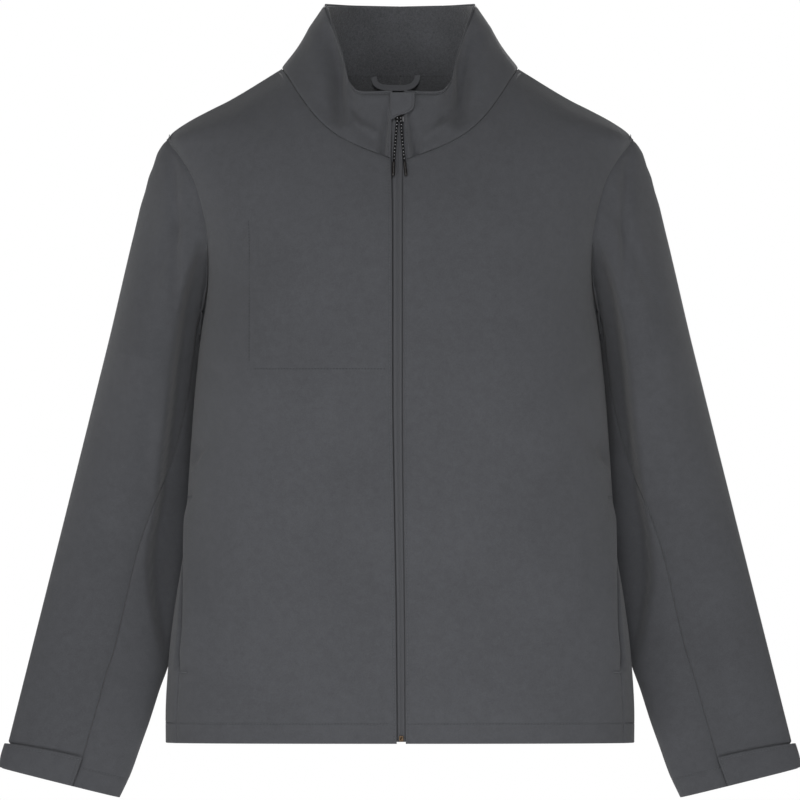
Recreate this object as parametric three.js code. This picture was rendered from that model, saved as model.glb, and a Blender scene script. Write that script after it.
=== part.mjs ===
// Softshell jacket, hollow as it is worn, with its zip closed to the collar.
// Millimetres. +Z is up, the front faces -Y, and the wearer's left is +X.
// The origin is the middle of the neck, level with the points where neck and shoulders meet.

import * as THREE from "three";

// Driving dimensions

const cloth = 1.8;              // thickness of the bonded softshell cloth
const seamGap = 0.3;            // gap that parts two sewn pieces
const hemZ = -688;              // bottom of the body
const shoulderZ = -71;          // shoulder points, where the sleeves start
const underarmZ = -272;         // lowest point of the armholes
const neckSideX = 121;          // half width of the neck at the shoulders
const sleeveLean = 0.25;        // how far a sleeve spreads for each unit it drops
const sleeveOuterX = 256.5;     // the sleeve's outer line passes here,
const sleeveOuterZ = -114;      // at this height
const cuffZ = -714.5;           // outer end of the cuff
const tabHeight = 26;           // cuff tab, along the sleeve
const pocketTopZ = -437;
const pocketBottomZ = -615;
const pocketLift = 3.4;         // how far the pocket's front edge stands out
const tapeHalf = 13;            // half width of the zip tape
const tapeDrop = 2.4;           // the tape's face lies this far behind the fronts' face
const cordRadius = 1.3;         // puller cords
const tipRadius = 1.55;

// A table is a list of rows with named columns, in rising order of its first column.
function table(columns, rows) {
  const names = columns.split(" ");
  return { names, rows: [...rows].sort((a, b) => a[0] - b[0]) };
}

// Level sections of the body: half width, distance of the centre front and centre back from
// the side line, and how square the section is (2 is an ellipse).
const bodySections = table("z halfWidth front back square", [
  [-688, 239, 82, 70, 2.6],
  [-645, 239, 87, 74, 2.6],
  [-606, 236, 91, 78, 2.6],
  [-574, 233, 94, 81, 2.55],
  [-541, 229, 96, 84, 2.5],
  [-508, 222, 99, 87, 2.45],
  [-440, 217, 106, 93, 2.4],
  [-390, 213.7, 111, 99, 2.4],
  [-339, 210, 116, 105, 2.4],
  [-272, 203, 121, 112, 2.35],
  [-208, 197, 121, 116, 2.3],
  [-173, 205, 118, 117, 2.25],
  [-137, 217, 111, 115, 2.15],
  [-104, 230, 100, 107, 2.0],
  [-71, 237.5, 89, 94, 1.9],
  [-36, 180, 75, 77, 1.8],
  [0, 121, 60, 60, 1.8],
]);

// The shoulder ridge from the shoulder point up to the neck.
const shoulderLine = table("z halfWidth", [
  [-71, 237.5],
  [-66, 233.3],
  [-54.5, 216.8],
  [-42, 193.7],
  [-32.6, 174.9],
  [0, 121],
]);

// Side seam: angle round the body from the centre front.
const sideSeam = table("z angle", [
  [-688, 70],
  [-615, 69.5],
  [-574, 68.8],
  [-541, 71.5],
  [-508, 79],
  [-440, 88],
  [-339, 90],
  [-272, 92],
]);

// Armhole: angles round the body of its front and back halves.
const armhole = table("z frontAngle backAngle", [
  [-272, 92, 92],
  [-240, 86, 95],
  [-208, 78.8, 101],
  [-189, 74, 104.5],
  [-173, 72.8, 107],
  [-154, 70, 109],
  [-137, 68.5, 110.5],
  [-121, 68.5, 110],
  [-104, 70, 108],
  [-89, 75, 104],
  [-71, 90, 90],
]);

// Zip: its middle drifts a little to one side between chest and hem.
const zipLine = table("z middle half", [
  [-688, 1.3, 4.6],
  [-560, 0.4, 4.8],
  [-420, -1.6, 5.2],
  [-340, -2.4, 5.5],
  [-93, -2.4, 5.6],
  [-20, -0.4, 6.4],
]);

// Neckline in front view, from the zip up to the neck side, and over the back.
const frontNeck = table("x z", [[8, -93.5], [43, -80], [67, -67], [86, -50], [103.5, -26.5], [114, -10], [121, 0]]);
const backNeck = table("x z", [[0, -7], [40, -7], [70, -6], [105, -3], [121, 0]]);

// Collar's top edge, from the zip round to the centre back.
const collarTop = [
  { x: 6, y: -80, z: -24 },
  { x: 43, y: -72, z: -23.5 },
  { x: 51, y: -64, z: -16 },
  { x: 54.6, y: -58, z: -3 },
  { x: 58.6, y: -50, z: 14 },
  { x: 67, y: -34, z: 40 },
  { x: 74, y: -12, z: 60 },
  { x: 76, y: 8, z: 66 },
  { x: 70, y: 32, z: 66 },
  { x: 50, y: 50, z: 65 },
  { x: 0, y: 60, z: 64 },
];
const collarSideIndex = 7;      // the row above that stands over the neck side

// Sleeve rings, square to the sleeve's outer line and named by its height there.
const sleeveRings = table("z width depth middleY", [
  [-714.5, 124, 38, 22],
  [-687, 129.5, 38, 24],
  [-662, 132, 40, 26],
  [-632, 135, 42, 28],
  [-601, 137, 45, 31],
  [-573, 139.7, 50, 34],
  [-542, 138, 56, 37],
  [-490, 132, 72, 41],
  [-440, 125, 88, 42],
  [-390, 117, 104, 42],
  [-340, 107, 119, 38],
  [-287, 98, 130, 32],
]);
const capEndZ = -287;           // ring where the sleeve cap has become a plain tube

// Long seams of the two-piece sleeve: angles round a ring from its outer edge, by the front.
const sleeveSeams = table("z frontAngle backAngle", [
  [-714.5, 102, 262],
  [-601, 100, 260],
  [-542, 101, 258],
  [-480, 104, 256],
  [-425, 114, 252],
  [-340, 145, 248],
  [-287, 160, 245],
  [-71, 160, 242],
]);

// Soft folds of the body in front view: a line, its half width and its depth.
const bodyFolds = table("x0 z0 x1 z1 halfWidth depth", [
  [183, -354, 218, -420, 9, 2.6],
  [150, -150, 178, -285, 20, 2.0],
  [120, -560, 190, -600, 26, 1.6],
  [60, -320, 84, -470, 30, 1.4],
]);

// Soft folds of a sleeve: angle round it, heights of its ends, half width and depth.
const sleeveFolds = table("angle z0 z1 halfWidth depth", [
  [62, -95, -235, 9, 4.2],
  [96, -330, -430, 10, 3.4],
  [70, -455, -505, 12, 2.6],
  [285, -110, -250, 10, 4.0],
  [300, -400, -500, 12, 3.4],
]);

// Soft folds of the collar: share of the way round from the zip, half width and depth.
const collarFolds = table("around halfWidth low high depth", [
  [0.06, 0.035, 0.1, 0.8, -1.5],
  [0.17, 0.03, 0.1, 0.75, 2.2],
  [0.26, 0.035, 0.15, 0.95, -3.2],
]);

// Heights of the panels' rows at the centre line and at the outer edge, up to the yoke.
const panelRows = [
  { centre: -688, outer: -688 },
  { centre: -652, outer: -652 },
  { centre: -615, outer: -615 },
  { centre: -574, outer: -574 },
  { centre: -530, outer: -530 },
  { centre: -484, outer: -484 },
  { centre: -437, outer: -437 },
  { centre: -388, outer: -388 },
  { centre: -340, outer: -330 },
  { centre: -298, outer: -272 },
  { centre: -250, outer: -225 },
  { centre: -202, outer: -172 },
  { centre: -158, outer: -121 },
];
const neckColumns = 6;          // columns of a panel along half a neckline, and along a shoulder
const yokeShare = 0.5;          // how far the yoke row lies below the neck and shoulder
const ridgeShare = 0.18;        // the same for the row beside the shoulder ridge

// Colours

const shellGrey = new THREE.MeshStandardMaterial({ color: 0x4f5054, roughness: 0.9 });
const liningGrey = new THREE.MeshStandardMaterial({ color: 0x3e3f42, roughness: 1 });
const zipBlack = new THREE.MeshStandardMaterial({ color: 0x1a1a1c, roughness: 0.6 });
const tipBrown = new THREE.MeshStandardMaterial({ color: 0x2b2422, roughness: 0.4 });
const endBrass = new THREE.MeshStandardMaterial({ color: 0x6b5a45, roughness: 0.5, metalness: 0.8 });

// Small helpers

const lerp = (a, b, t) => a + (b - a) * t;
const clamp = (value, low, high) => Math.min(high, Math.max(low, value));
const radians = (degrees) => degrees * Math.PI / 180;
const vec = (x, y, z) => new THREE.Vector3(x, y, z);

function smooth(low, high, value) {
  const t = clamp((value - low) / (high - low), 0, 1);
  return t * t * (3 - 2 * t);
}

// Reads one column of a table at a place between its rows, without overshoot.
function read(source, column, place) {
  const rows = source.rows;
  const c = source.names.indexOf(column);
  const last = rows.length - 1;
  if (place <= rows[0][0]) {
    return rows[0][c];
  }
  if (place >= rows[last][0]) {
    return rows[last][c];
  }
  let k = 0;
  while (rows[k + 1][0] < place) {
    k += 1;
  }
  const slope = (i) => (rows[i + 1][c] - rows[i][c]) / (rows[i + 1][0] - rows[i][0]);
  const tangent = (i) => {
    if (i === 0) {
      return slope(0);
    }
    if (i === last) {
      return slope(last - 1);
    }
    const before = slope(i - 1);
    const after = slope(i);
    return before * after <= 0 ? 0 : 2 * before * after / (before + after);
  };
  const step = rows[k + 1][0] - rows[k][0];
  const t = (place - rows[k][0]) / step;
  const a = rows[k][c];
  const b = rows[k + 1][c];
  return a * (1 + 2 * t) * (1 - t) ** 2 + b * t * t * (3 - 2 * t)
    + step * (tangent(k) * t * (1 - t) ** 2 - tangent(k + 1) * t * t * (1 - t));
}

// Body: level sections

function halfWidthAt(z) {
  return z > shoulderZ ? read(shoulderLine, "halfWidth", z) : read(bodySections, "halfWidth", z);
}

function bodyPoint(angle, z) {
  const across = Math.abs(Math.sin(radians(angle)));
  const along = Math.cos(radians(angle));
  const power = 2 / read(bodySections, "square", z);
  const reach = along > 0 ? -read(bodySections, "front", z) : read(bodySections, "back", z);
  return vec(halfWidthAt(z) * across ** power, reach * Math.abs(along) ** power, z);
}

// How far out a point lies, as a share of its level section: 1 is on the cloth's outer face.
function bodyShare(x, y, z) {
  const square = read(bodySections, "square", z);
  const reach = y < 0 ? read(bodySections, "front", z) : read(bodySections, "back", z);
  return (Math.abs(x) / halfWidthAt(z)) ** square + (Math.abs(y) / reach) ** square;
}

// The y of the front (-1) or back (+1) face over a point of the front view.
function faceY(face, x, z) {
  const square = read(bodySections, "square", z);
  const reach = read(bodySections, face < 0 ? "front" : "back", z);
  const rest = 1 - Math.min(1, Math.abs(x) / halfWidthAt(z)) ** square;
  return face * reach * Math.max(0, rest) ** (1 / square);
}

// The half width of the body at a given y.
function widthAt(y, z) {
  const square = read(bodySections, "square", z);
  const reach = read(bodySections, y < 0 ? "front" : "back", z);
  const rest = 1 - Math.min(1, Math.abs(y) / reach) ** square;
  return halfWidthAt(z) * Math.max(0, rest) ** (1 / square);
}

function bodyNormal(p) {
  const step = 0.5;
  const lower = Math.min(p.z, -step);
  const normal = vec(
    bodyShare(p.x + step, p.y, lower) - bodyShare(p.x - step, p.y, lower),
    bodyShare(p.x, p.y + step, lower) - bodyShare(p.x, p.y - step, lower),
    bodyShare(p.x, p.y, lower + step) - bodyShare(p.x, p.y, lower - step),
  );
  return normal.normalize();
}

// Depth of the soft folds at a point of the front view.
function foldDepth(x, z) {
  let depth = 0;
  for (const [x0, z0, x1, z1, halfWidth, most] of bodyFolds.rows) {
    const length = Math.hypot(x1 - x0, z1 - z0);
    const along = ((x - x0) * (x1 - x0) + (z - z0) * (z1 - z0)) / (length * length);
    const off = ((x - x0) * (z1 - z0) - (z - z0) * (x1 - x0)) / length;
    const taper = Math.max(0, 1 - (2 * clamp(along, -0.2, 1.2) - 1) ** 2 / 1.6);
    depth += most * taper * Math.exp(-((off / halfWidth) ** 2));
  }
  return depth;
}

// How far the pocket's front edge is lifted, at a share of the way to the side seam.
function pocketRise(u, z) {
  const middle = smooth(pocketBottomZ, pocketBottomZ + 26, z) * (1 - smooth(pocketTopZ - 26, pocketTopZ, z));
  return pocketLift * middle * smooth(0.72, 0.97, u);
}

// Panels of the body

function zipEdge(side, z) {
  return read(zipLine, "half", z) + side * read(zipLine, "middle", z);
}

function angleOfX(x, z) {
  const share = clamp(x / halfWidthAt(z), 0, 1) ** (read(bodySections, "square", z) / 2);
  return Math.asin(share) * 180 / Math.PI;
}

function outerAngle(face, z) {
  if (z < underarmZ) {
    return read(sideSeam, "angle", z);
  }
  return read(armhole, face < 0 ? "frontAngle" : "backAngle", z);
}

// A level row of a panel: u runs from its centre line to its outer edge.
function levelRow(face, side, row, u) {
  const z = lerp(row.centre, row.outer, u * u);
  const inner = face < 0 ? angleOfX(zipEdge(side, row.centre), row.centre) : 180;
  return bodyPoint(lerp(inner, outerAngle(face, row.outer), u), z);
}

// Points along the neckline, from its centre to the neck side. It has the panels' columns,
// and runs straight between them.
function alongNeck(face, side, share) {
  const source = face < 0 ? frontNeck : backNeck;
  const startX = face < 0 ? zipEdge(side, source.rows[0][1]) : 0;
  const corner = (k) => {
    const x = lerp(startX, neckSideX, (k / neckColumns) ** 0.92);
    const z = read(source, "z", x);
    return vec(x, faceY(face, x, z), z);
  };
  const k = Math.min(Math.floor(share * neckColumns), neckColumns - 1);
  return corner(k).lerp(corner(k + 1), share * neckColumns - k);
}

// The top edge of a panel: half of it is the neckline, half the shoulder seam.
function topRow(face, side, u) {
  if (u <= 0.5) {
    return alongNeck(face, side, u * 2);
  }
  const z = lerp(0, shoulderZ, u * 2 - 1);
  return vec(halfWidthAt(z), 0, z);
}

// A row between the last level row and the top edge, laid out in front view.
function yokeRow(face, side, share, u) {
  const top = topRow(face, side, u);
  const low = levelRow(face, side, panelRows[panelRows.length - 1], u);
  const z = lerp(top.z, low.z, share);
  const edge = bodyPoint(outerAngle(face, z), z).x;
  const plainEdge = lerp(237.5, low.x, share);
  let x = lerp(top.x, low.x, share);
  if (u > 0.5) {
    x += (edge - plainEdge) * smooth(0.6, 1, u) * (u === 1 ? 1 : 0.8);
  }
  return vec(x, faceY(face, x, z), z);
}

function controlPoint(face, side, k, u) {
  const count = panelRows.length;
  if (k < count) {
    return levelRow(face, side, panelRows[k], u);
  }
  if (k === count) {
    return yokeRow(face, side, yokeShare, u);
  }
  if (k === count + 1) {
    return yokeRow(face, side, ridgeShare, u);
  }
  return topRow(face, side, u);
}

// A point of the panel: v counts control rows, with a smooth curve through them.
function panelPoint(face, side, u, v) {
  const last = panelRows.length + 2;
  const k = Math.min(Math.floor(v), last - 1);
  const t = v - k;
  const a = controlPoint(face, side, k, u);
  if (t === 0) {
    return a;
  }
  const b = controlPoint(face, side, k + 1, u);
  const before = k > 0 ? controlPoint(face, side, k - 1, u) : a.clone().multiplyScalar(2).sub(b);
  const after = k + 1 < last ? controlPoint(face, side, k + 2, u) : b.clone().multiplyScalar(2).sub(a);
  const start = b.clone().sub(before).multiplyScalar(0.5);
  const end = after.clone().sub(a).multiplyScalar(0.5);
  return a.multiplyScalar((1 + 2 * t) * (1 - t) ** 2)
    .addScaledVector(b, t * t * (3 - 2 * t))
    .addScaledVector(start, t * (1 - t) ** 2)
    .addScaledVector(end, -t * t * (1 - t));
}

// Walls

// Turns a grid of outer points and a grid of inner points into one closed solid.
function wall(name, material, outer, inner) {
  const rows = outer.length;
  const columns = outer[0].length;
  const positions = [...outer.flat(), ...inner.flat()].flatMap((p) => [p.x, p.y, p.z]);
  const out = (i, j) => i * columns + j;
  const back = (i, j) => (rows + i) * columns + j;
  const faces = [];
  const quad = (a, b, c, d) => faces.push(a, b, c, a, c, d);
  for (let i = 0; i + 1 < rows; i += 1) {
    for (let j = 0; j + 1 < columns; j += 1) {
      quad(out(i, j), out(i, j + 1), out(i + 1, j + 1), out(i + 1, j));
      quad(back(i, j), back(i + 1, j), back(i + 1, j + 1), back(i, j + 1));
    }
  }
  for (let j = 0; j + 1 < columns; j += 1) {
    quad(out(0, j), back(0, j), back(0, j + 1), out(0, j + 1));
    quad(out(rows - 1, j), out(rows - 1, j + 1), back(rows - 1, j + 1), back(rows - 1, j));
  }
  for (let i = 0; i + 1 < rows; i += 1) {
    quad(out(i, 0), out(i + 1, 0), back(i + 1, 0), back(i, 0));
    quad(out(i, columns - 1), back(i, columns - 1), back(i + 1, columns - 1), out(i + 1, columns - 1));
  }
  return solid(name, material, positions, faces);
}

function solid(name, material, positions, faces) {
  const corner = (i) => vec(positions[3 * i], positions[3 * i + 1], positions[3 * i + 2]);
  let volume = 0;
  for (let f = 0; f < faces.length; f += 3) {
    const a = corner(faces[f]);
    volume += a.dot(corner(faces[f + 1]).cross(corner(faces[f + 2])));
  }
  if (volume < 0) {
    for (let f = 0; f < faces.length; f += 3) {
      [faces[f + 1], faces[f + 2]] = [faces[f + 2], faces[f + 1]];
    }
  }
  const geometry = new THREE.BufferGeometry();
  geometry.setAttribute("position", new THREE.Float32BufferAttribute(positions, 3));
  geometry.setIndex(faces);
  geometry.computeVertexNormals();
  const mesh = new THREE.Mesh(geometry, material);
  mesh.name = name;
  return mesh;
}

// Draws the points of each edge back along the cloth, so that seams keep their gap.
function trimEdges(grid, edges) {
  const half = seamGap / 2;
  const pull = (p, q) => {
    const away = q.clone().sub(p);
    return p.clone().addScaledVector(away, half / away.length());
  };
  const rows = grid.length;
  const columns = grid[0].length;
  for (let j = 0; j < columns; j += 1) {
    if (edges.top) {
      grid[rows - 1][j] = pull(grid[rows - 1][j], grid[rows - 2][j]);
    }
    if (edges.bottom) {
      grid[0][j] = pull(grid[0][j], grid[1][j]);
    }
  }
  for (let i = 0; i < rows; i += 1) {
    if (edges.start) {
      grid[i][0] = pull(grid[i][0], grid[i][1]);
    }
    if (edges.end) {
      grid[i][columns - 1] = pull(grid[i][columns - 1], grid[i][columns - 2]);
    }
  }
  return grid;
}

const mirrored = (p, side) => vec(p.x * side, p.y, p.z);

function steps(from, to, count) {
  return Array.from({ length: count + 1 }, (_, i) => lerp(from, to, i / count));
}

const underarmRow = panelRows.findIndex((row) => row.outer === underarmZ);

// The panels' rows are closer together above the underarm.
function panelLevels() {
  const last = panelRows.length + 2;
  return [...steps(0, underarmRow, underarmRow), ...steps(underarmRow, last, 2 * (last - underarmRow)).slice(1)];
}

function shapedPanelPoint(face, side, u, v) {
  const p = panelPoint(face, side, u, v);
  const normal = bodyNormal(p);
  const edgeFade = smooth(0, 0.12, u) * (1 - smooth(0.86, 1, u)) * (1 - smooth(12.5, 15, v));
  let out = -foldDepth(p.x, p.z) * edgeFade;
  if (face < 0) {
    out += pocketRise(u, p.z);
  }
  return { point: p.addScaledVector(normal, out), normal };
}

function panelGrids(face, side, columns) {
  const outer = panelLevels().map((v) => columns.map((u) => {
    const shaped = shapedPanelPoint(face, u < 0 ? -1 : side, Math.abs(u), v);
    return { point: mirrored(shaped.point, u < 0 ? -1 : side), normal: mirrored(shaped.normal, u < 0 ? -1 : side) };
  }));
  const grid = trimEdges(outer.map((row) => row.map((item) => item.point)), { top: true, start: true, end: true });
  const inner = grid.map((row, i) => row.map((p, j) => p.clone().addScaledVector(outer[i][j].normal, -cloth)));
  return { grid, inner };
}

function frontPanel(name, side) {
  const { grid, inner } = panelGrids(-1, side, steps(0, 1, 2 * neckColumns));
  return wall(name, shellGrey, grid, inner);
}

function backPanel() {
  const { grid, inner } = panelGrids(1, 1, steps(-1, 1, 4 * neckColumns));
  return wall("back", shellGrey, grid, inner);
}

// Pocket facing: a strip behind the front edge, on the line of the back.
function pocketFacing(name, side) {
  const width = 5;
  const margin = 0.8;
  const sunk = 1.2;
  const levels = [pocketBottomZ + 17, -574, -530, -484, pocketTopZ - 32];
  const points = levels.map((z) => steps(-width, -margin, 2).map((turn) => {
    const p = bodyPoint(outerAngle(-1, z) + turn, z);
    const normal = bodyNormal(p);
    return { p: mirrored(p.addScaledVector(normal, -sunk), side), normal: mirrored(normal, side) };
  }));
  const outer = points.map((row) => row.map((item) => item.p));
  const inner = points.map((row) => row.map((item) => item.p.clone().addScaledVector(item.normal, -cloth)));
  return wall(name, liningGrey, outer, inner);
}

// Sleeves

const sleeveDown = vec(sleeveLean, 0, -1).normalize();
const sleeveOut = vec(1, 0, sleeveLean).normalize();

// The armhole's corners from the shoulder down one half to the underarm, with the turn of each.
function armholeHalf(face) {
  const last = panelRows.length + 2;
  const corners = panelLevels().filter((v) => v >= underarmRow)
    .map((v) => shapedPanelPoint(face, 1, 1, v).point)
    .reverse();
  const lengths = [0];
  for (let i = 1; i < corners.length; i += 1) {
    lengths.push(lengths[i - 1] + corners[i].distanceTo(corners[i - 1]));
  }
  const whole = lengths[lengths.length - 1];
  return corners.map((point, i) => ({ point, turn: 180 * lengths[i] / whole }));
}

const frontHalf = armholeHalf(-1);
const backHalf = armholeHalf(1);
const armholeCorners = [
  ...frontHalf,
  ...backHalf.slice(0, -1).reverse().map(({ point, turn }) => ({ point, turn: 360 - turn })),
];
const cornerCount = armholeCorners.length - 1;
const halfCorners = cornerCount / 2;

// The turn of a corner, or of a place between two: index 0 is the shoulder, going by the front.
function cornerTurn(index) {
  const k = Math.floor(index);
  const turnOf = (i) => armholeCorners[(i + cornerCount) % cornerCount].turn - (i < 0 ? 360 : 0);
  return lerp(turnOf(k), k === index ? turnOf(k) : turnOf(k + 1), index - k);
}

function armholePoint(turn) {
  let k = 0;
  while (k < cornerCount - 1 && armholeCorners[k + 1].turn < turn) {
    k += 1;
  }
  const a = armholeCorners[k];
  const b = armholeCorners[k + 1];
  return a.point.clone().lerp(b.point, clamp((turn - a.turn) / (b.turn - a.turn), 0, 1));
}

function ringPoint(turn, z) {
  const outerX = sleeveOuterX + sleeveLean * (sleeveOuterZ - z);
  const halfWidth = read(sleeveRings, "width", z) / 2;
  const halfDepth = read(sleeveRings, "depth", z) / 2;
  const middle = vec(outerX, read(sleeveRings, "middleY", z), z).addScaledVector(sleeveOut, -halfWidth);
  return middle.addScaledVector(sleeveOut, halfWidth * Math.cos(radians(turn)))
    .add(vec(0, -halfDepth * Math.sin(radians(turn)), 0));
}

// The way the sleeve leaves the armhole at its top, front, underarm and back.
const capTop = vec(0.8, 0, -0.6);
const capFront = vec(0.84, -0.3, -0.45);
const capUnder = vec(0.16, 0.25, -0.95);
const capBack = vec(0.8, 0.42, -0.42);

function capDirection(turn) {
  const up = (1 + Math.cos(radians(turn))) / 2;
  const forward = Math.sin(radians(turn));
  return capTop.clone().multiplyScalar(up)
    .addScaledVector(capUnder, 1 - up)
    .addScaledVector(capFront, Math.max(0, forward))
    .addScaledVector(capBack, Math.max(0, -forward))
    .normalize();
}

// Keeps the sleeve beside the body, just clear of it.
function besideBody(p, clearance, softness) {
  const least = widthAt(p.y, clamp(p.z, hemZ, shoulderZ - 12)) + clearance;
  const over = p.x - least;
  p.x = over > softness ? p.x : least + softness * Math.exp((over - softness) / softness);
  return p;
}

// A point of the sleeve: t from 0 to 1 is the cap, and from 1 to 2 the tube down to the cuff.
function sleevePoint(turn, t) {
  const clearance = seamGap + 2.2 * smooth(0, 0.6, t);
  const softness = 0.02 + 3 * smooth(0, 0.4, t);
  let p;
  if (t >= 1) {
    p = ringPoint(turn, lerp(capEndZ, cuffZ, t - 1));
  } else {
    const start = armholePoint(turn);
    const end = ringPoint(turn, capEndZ);
    const chord = start.distanceTo(end);
    const startPull = lerp(0.75, 0.32, (1 + Math.cos(radians(turn))) / 2) * chord;
    p = start.multiplyScalar((1 + 2 * t) * (1 - t) ** 2)
      .addScaledVector(end, t * t * (3 - 2 * t))
      .addScaledVector(capDirection(turn), startPull * t * (1 - t) ** 2)
      .addScaledVector(sleeveDown, -1.05 * chord * t * t * (1 - t));
  }
  return besideBody(p, clearance, softness);
}

function sleeveNormal(turn, t) {
  const around = sleevePoint(turn + 1.5, t).sub(sleevePoint(turn - 1.5, t));
  const down = sleevePoint(turn, Math.min(2, t + 0.01)).sub(sleevePoint(turn, Math.max(0.001, t - 0.01)));
  return around.cross(down).normalize();
}

function sleeveFoldDepth(turn, z) {
  let depth = 0;
  for (const [angle, z0, z1, halfWidth, most] of sleeveFolds.rows) {
    const along = (z - z0) / (z1 - z0);
    const taper = Math.max(0, 1 - (2 * clamp(along, -0.2, 1.2) - 1) ** 2 / 1.4);
    depth += most * taper * Math.exp(-(((turn - angle) / halfWidth) ** 2));
  }
  return depth;
}

function sleeveSurface(turn, t) {
  const around = (turn + 360) % 360;
  const point = sleevePoint(around, t);
  let normal = sleeveNormal(around, t);
  const atSeam = Math.max(0, 1 - t / 0.1) * smooth(-0.35, 0.25, Math.cos(radians(around)));
  normal = normal.lerp(bodyNormal(armholePoint(around)), atSeam).normalize();
  const out = -sleeveFoldDepth(around, point.z) * smooth(0, 0.12, t);
  return { point: point.addScaledVector(normal, out), normal };
}

const sleeveSteps = [0, 0.09, 0.2, 0.34, 0.52, 0.76, 1, 1.13, 1.25, 1.37, 1.49, 1.6, 1.7, 1.8, 1.9, 2];
const levelOfStep = (t) => (t <= 1 ? lerp(shoulderZ, capEndZ, t) : lerp(capEndZ, cuffZ, t - 1));

// The armhole corners where the long seams start.
const frontSeamCorner = halfCorners - 1;
const backSeamCorner = halfCorners + 4;

// Turns of a piece's columns on a plain ring.
function sleeveTurns(part, z) {
  const front = read(sleeveSeams, "frontAngle", z);
  const back = read(sleeveSeams, "backAngle", z);
  return part === "upper" ? steps(back - 360, front, cornerCount - 5) : steps(front, back, 10);
}

function sleevePiece(name, side, part) {
  const corners = part === "upper"
    ? steps(backSeamCorner - cornerCount, frontSeamCorner, cornerCount - 5)
    : steps(frontSeamCorner, backSeamCorner, 10);
  const surface = sleeveSteps.map((t) => {
    const z = levelOfStep(t);
    const turns = sleeveTurns(part, z);
    const even = smooth(0, 0.6, t);
    return turns.map((turn, j) => sleeveSurface(lerp(cornerTurn(corners[j]), turn, even), t));
  });
  const outer = surface.map((row) => row.map((item) => item.point));
  const grid = trimEdges(outer, { bottom: true, start: true, end: true });
  const placed = grid.map((row) => row.map((p) => mirrored(p, side)));
  const inner = grid.map((row, i) => row.map((p, j) => (
    mirrored(p.clone().addScaledVector(surface[i][j].normal, -cloth), side))));
  return wall(name, shellGrey, placed, inner);
}

// Cuff tab: a strap over the outer side of the cuff, sewn in at the front seam.
function cuffTab(name, side) {
  const tabCloth = 1.6;
  const bulge = 1.6;
  const turns = [...sleeveTurns("upper", cuffZ).slice(3, -1), 101];
  const along = tabHeight / (capEndZ - cuffZ);
  const levels = [2 - along, 2 - 0.67 * along, 2 - 0.33 * along, 1.999];
  const points = levels.map((t, i) => turns.map((turn) => {
    const { point, normal } = sleeveSurface(turn, t);
    const loose = bulge * Math.exp(-((turn / 32) ** 2)) * (i === 1 || i === 2 ? 1.3 : 0.9);
    return { point: point.addScaledVector(normal, 2 * seamGap + loose), normal };
  }));
  const inner = points.map((row) => row.map((item) => mirrored(item.point, side)));
  const outer = points.map((row) => row.map((item) => (
    mirrored(item.point.clone().addScaledVector(item.normal, tabCloth), side))));
  return wall(name, shellGrey, outer, inner);
}

// Collar

function alongCurve(points, share) {
  const curve = new THREE.CatmullRomCurve3(points, false, "centripetal");
  return curve.getPointAt(clamp(share, 0, 1));
}

const asVectors = (rows) => rows.map((row) => vec(row.x, row.y, row.z));
const topFront = asVectors(collarTop.slice(0, collarSideIndex + 1));
const topBack = asVectors(collarTop.slice(collarSideIndex));

// Lower and upper edge of the collar: around runs from the zip (0) by the neck side (0.5) to the back (1).
function collarEdge(side, around, upper) {
  const front = around <= 0.5;
  const share = front ? around * 2 : around * 2 - 1;
  if (upper) {
    const p = front ? alongCurve(topFront, share) : alongCurve(topBack, share);
    p.x += front ? side * read(zipLine, "middle", p.z) * (1 - smooth(0, 0.3, share)) : 0;
    return p;
  }
  const p = front ? alongNeck(-1, side, share) : alongNeck(1, side, 1 - share);
  return p.add(vec(0, 0, seamGap));
}

function collarFoldRise(around, up) {
  let rise = 0;
  for (const [place, halfWidth, low, high, depth] of collarFolds.rows) {
    const window = smooth(low - 0.1, low + 0.15, up) * (1 - smooth(high - 0.15, high + 0.1, up));
    rise += depth * window * Math.exp(-(((around - place) / halfWidth) ** 2));
  }
  return rise;
}

function collarPoint(side, around, up) {
  const low = collarEdge(side, around, false);
  const high = collarEdge(side, around, true);
  const p = low.clone().lerp(high, up);
  const sag = 2.2 * Math.sin(Math.PI * Math.min(1, up * 1.6)) * smooth(0.3, 0.5, around);
  const level = vec(p.x, p.y + 15, 0).normalize();
  return p.addScaledVector(level, -sag);
}

function collarSurface(side, around, up) {
  const step = 0.01;
  const a = clamp(around, step, 1 - step);
  const b = clamp(up, step, 1 - step);
  const alongU = collarPoint(side, a + step, b).sub(collarPoint(side, a - step, b));
  const alongV = collarPoint(side, a, b + step).sub(collarPoint(side, a, b - step));
  const normal = alongU.cross(alongV).normalize();
  if (around > 1 - step) {
    normal.x = 0;
    normal.normalize();
  }
  const p = collarPoint(side, around, up);
  return { point: p.addScaledVector(normal, collarFoldRise(around, up)), normal };
}

function collarLayer(name, material, depth, lowest, highest) {
  const arounds = [...steps(0, 0.5, 2 * neckColumns), ...steps(0.5, 1, neckColumns).slice(1)];
  const sweep = [...arounds.map((a) => [1, a]), ...arounds.slice(0, -1).reverse().map((a) => [-1, a])];
  const surface = steps(lowest, highest, 4).map((up) => sweep.map(([side, around]) => {
    const { point, normal } = collarSurface(side, around, up);
    return { point: mirrored(point.addScaledVector(normal, -depth), side), normal: mirrored(normal, side) };
  }));
  const outer = surface.map((row) => row.map((item) => item.point));
  const inner = surface.map((row) => row.map((item) => item.point.clone().addScaledVector(item.normal, -cloth)));
  return wall(name, material, outer, inner);
}

// Zip

const collarFrontTop = collarTop[0];

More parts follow.
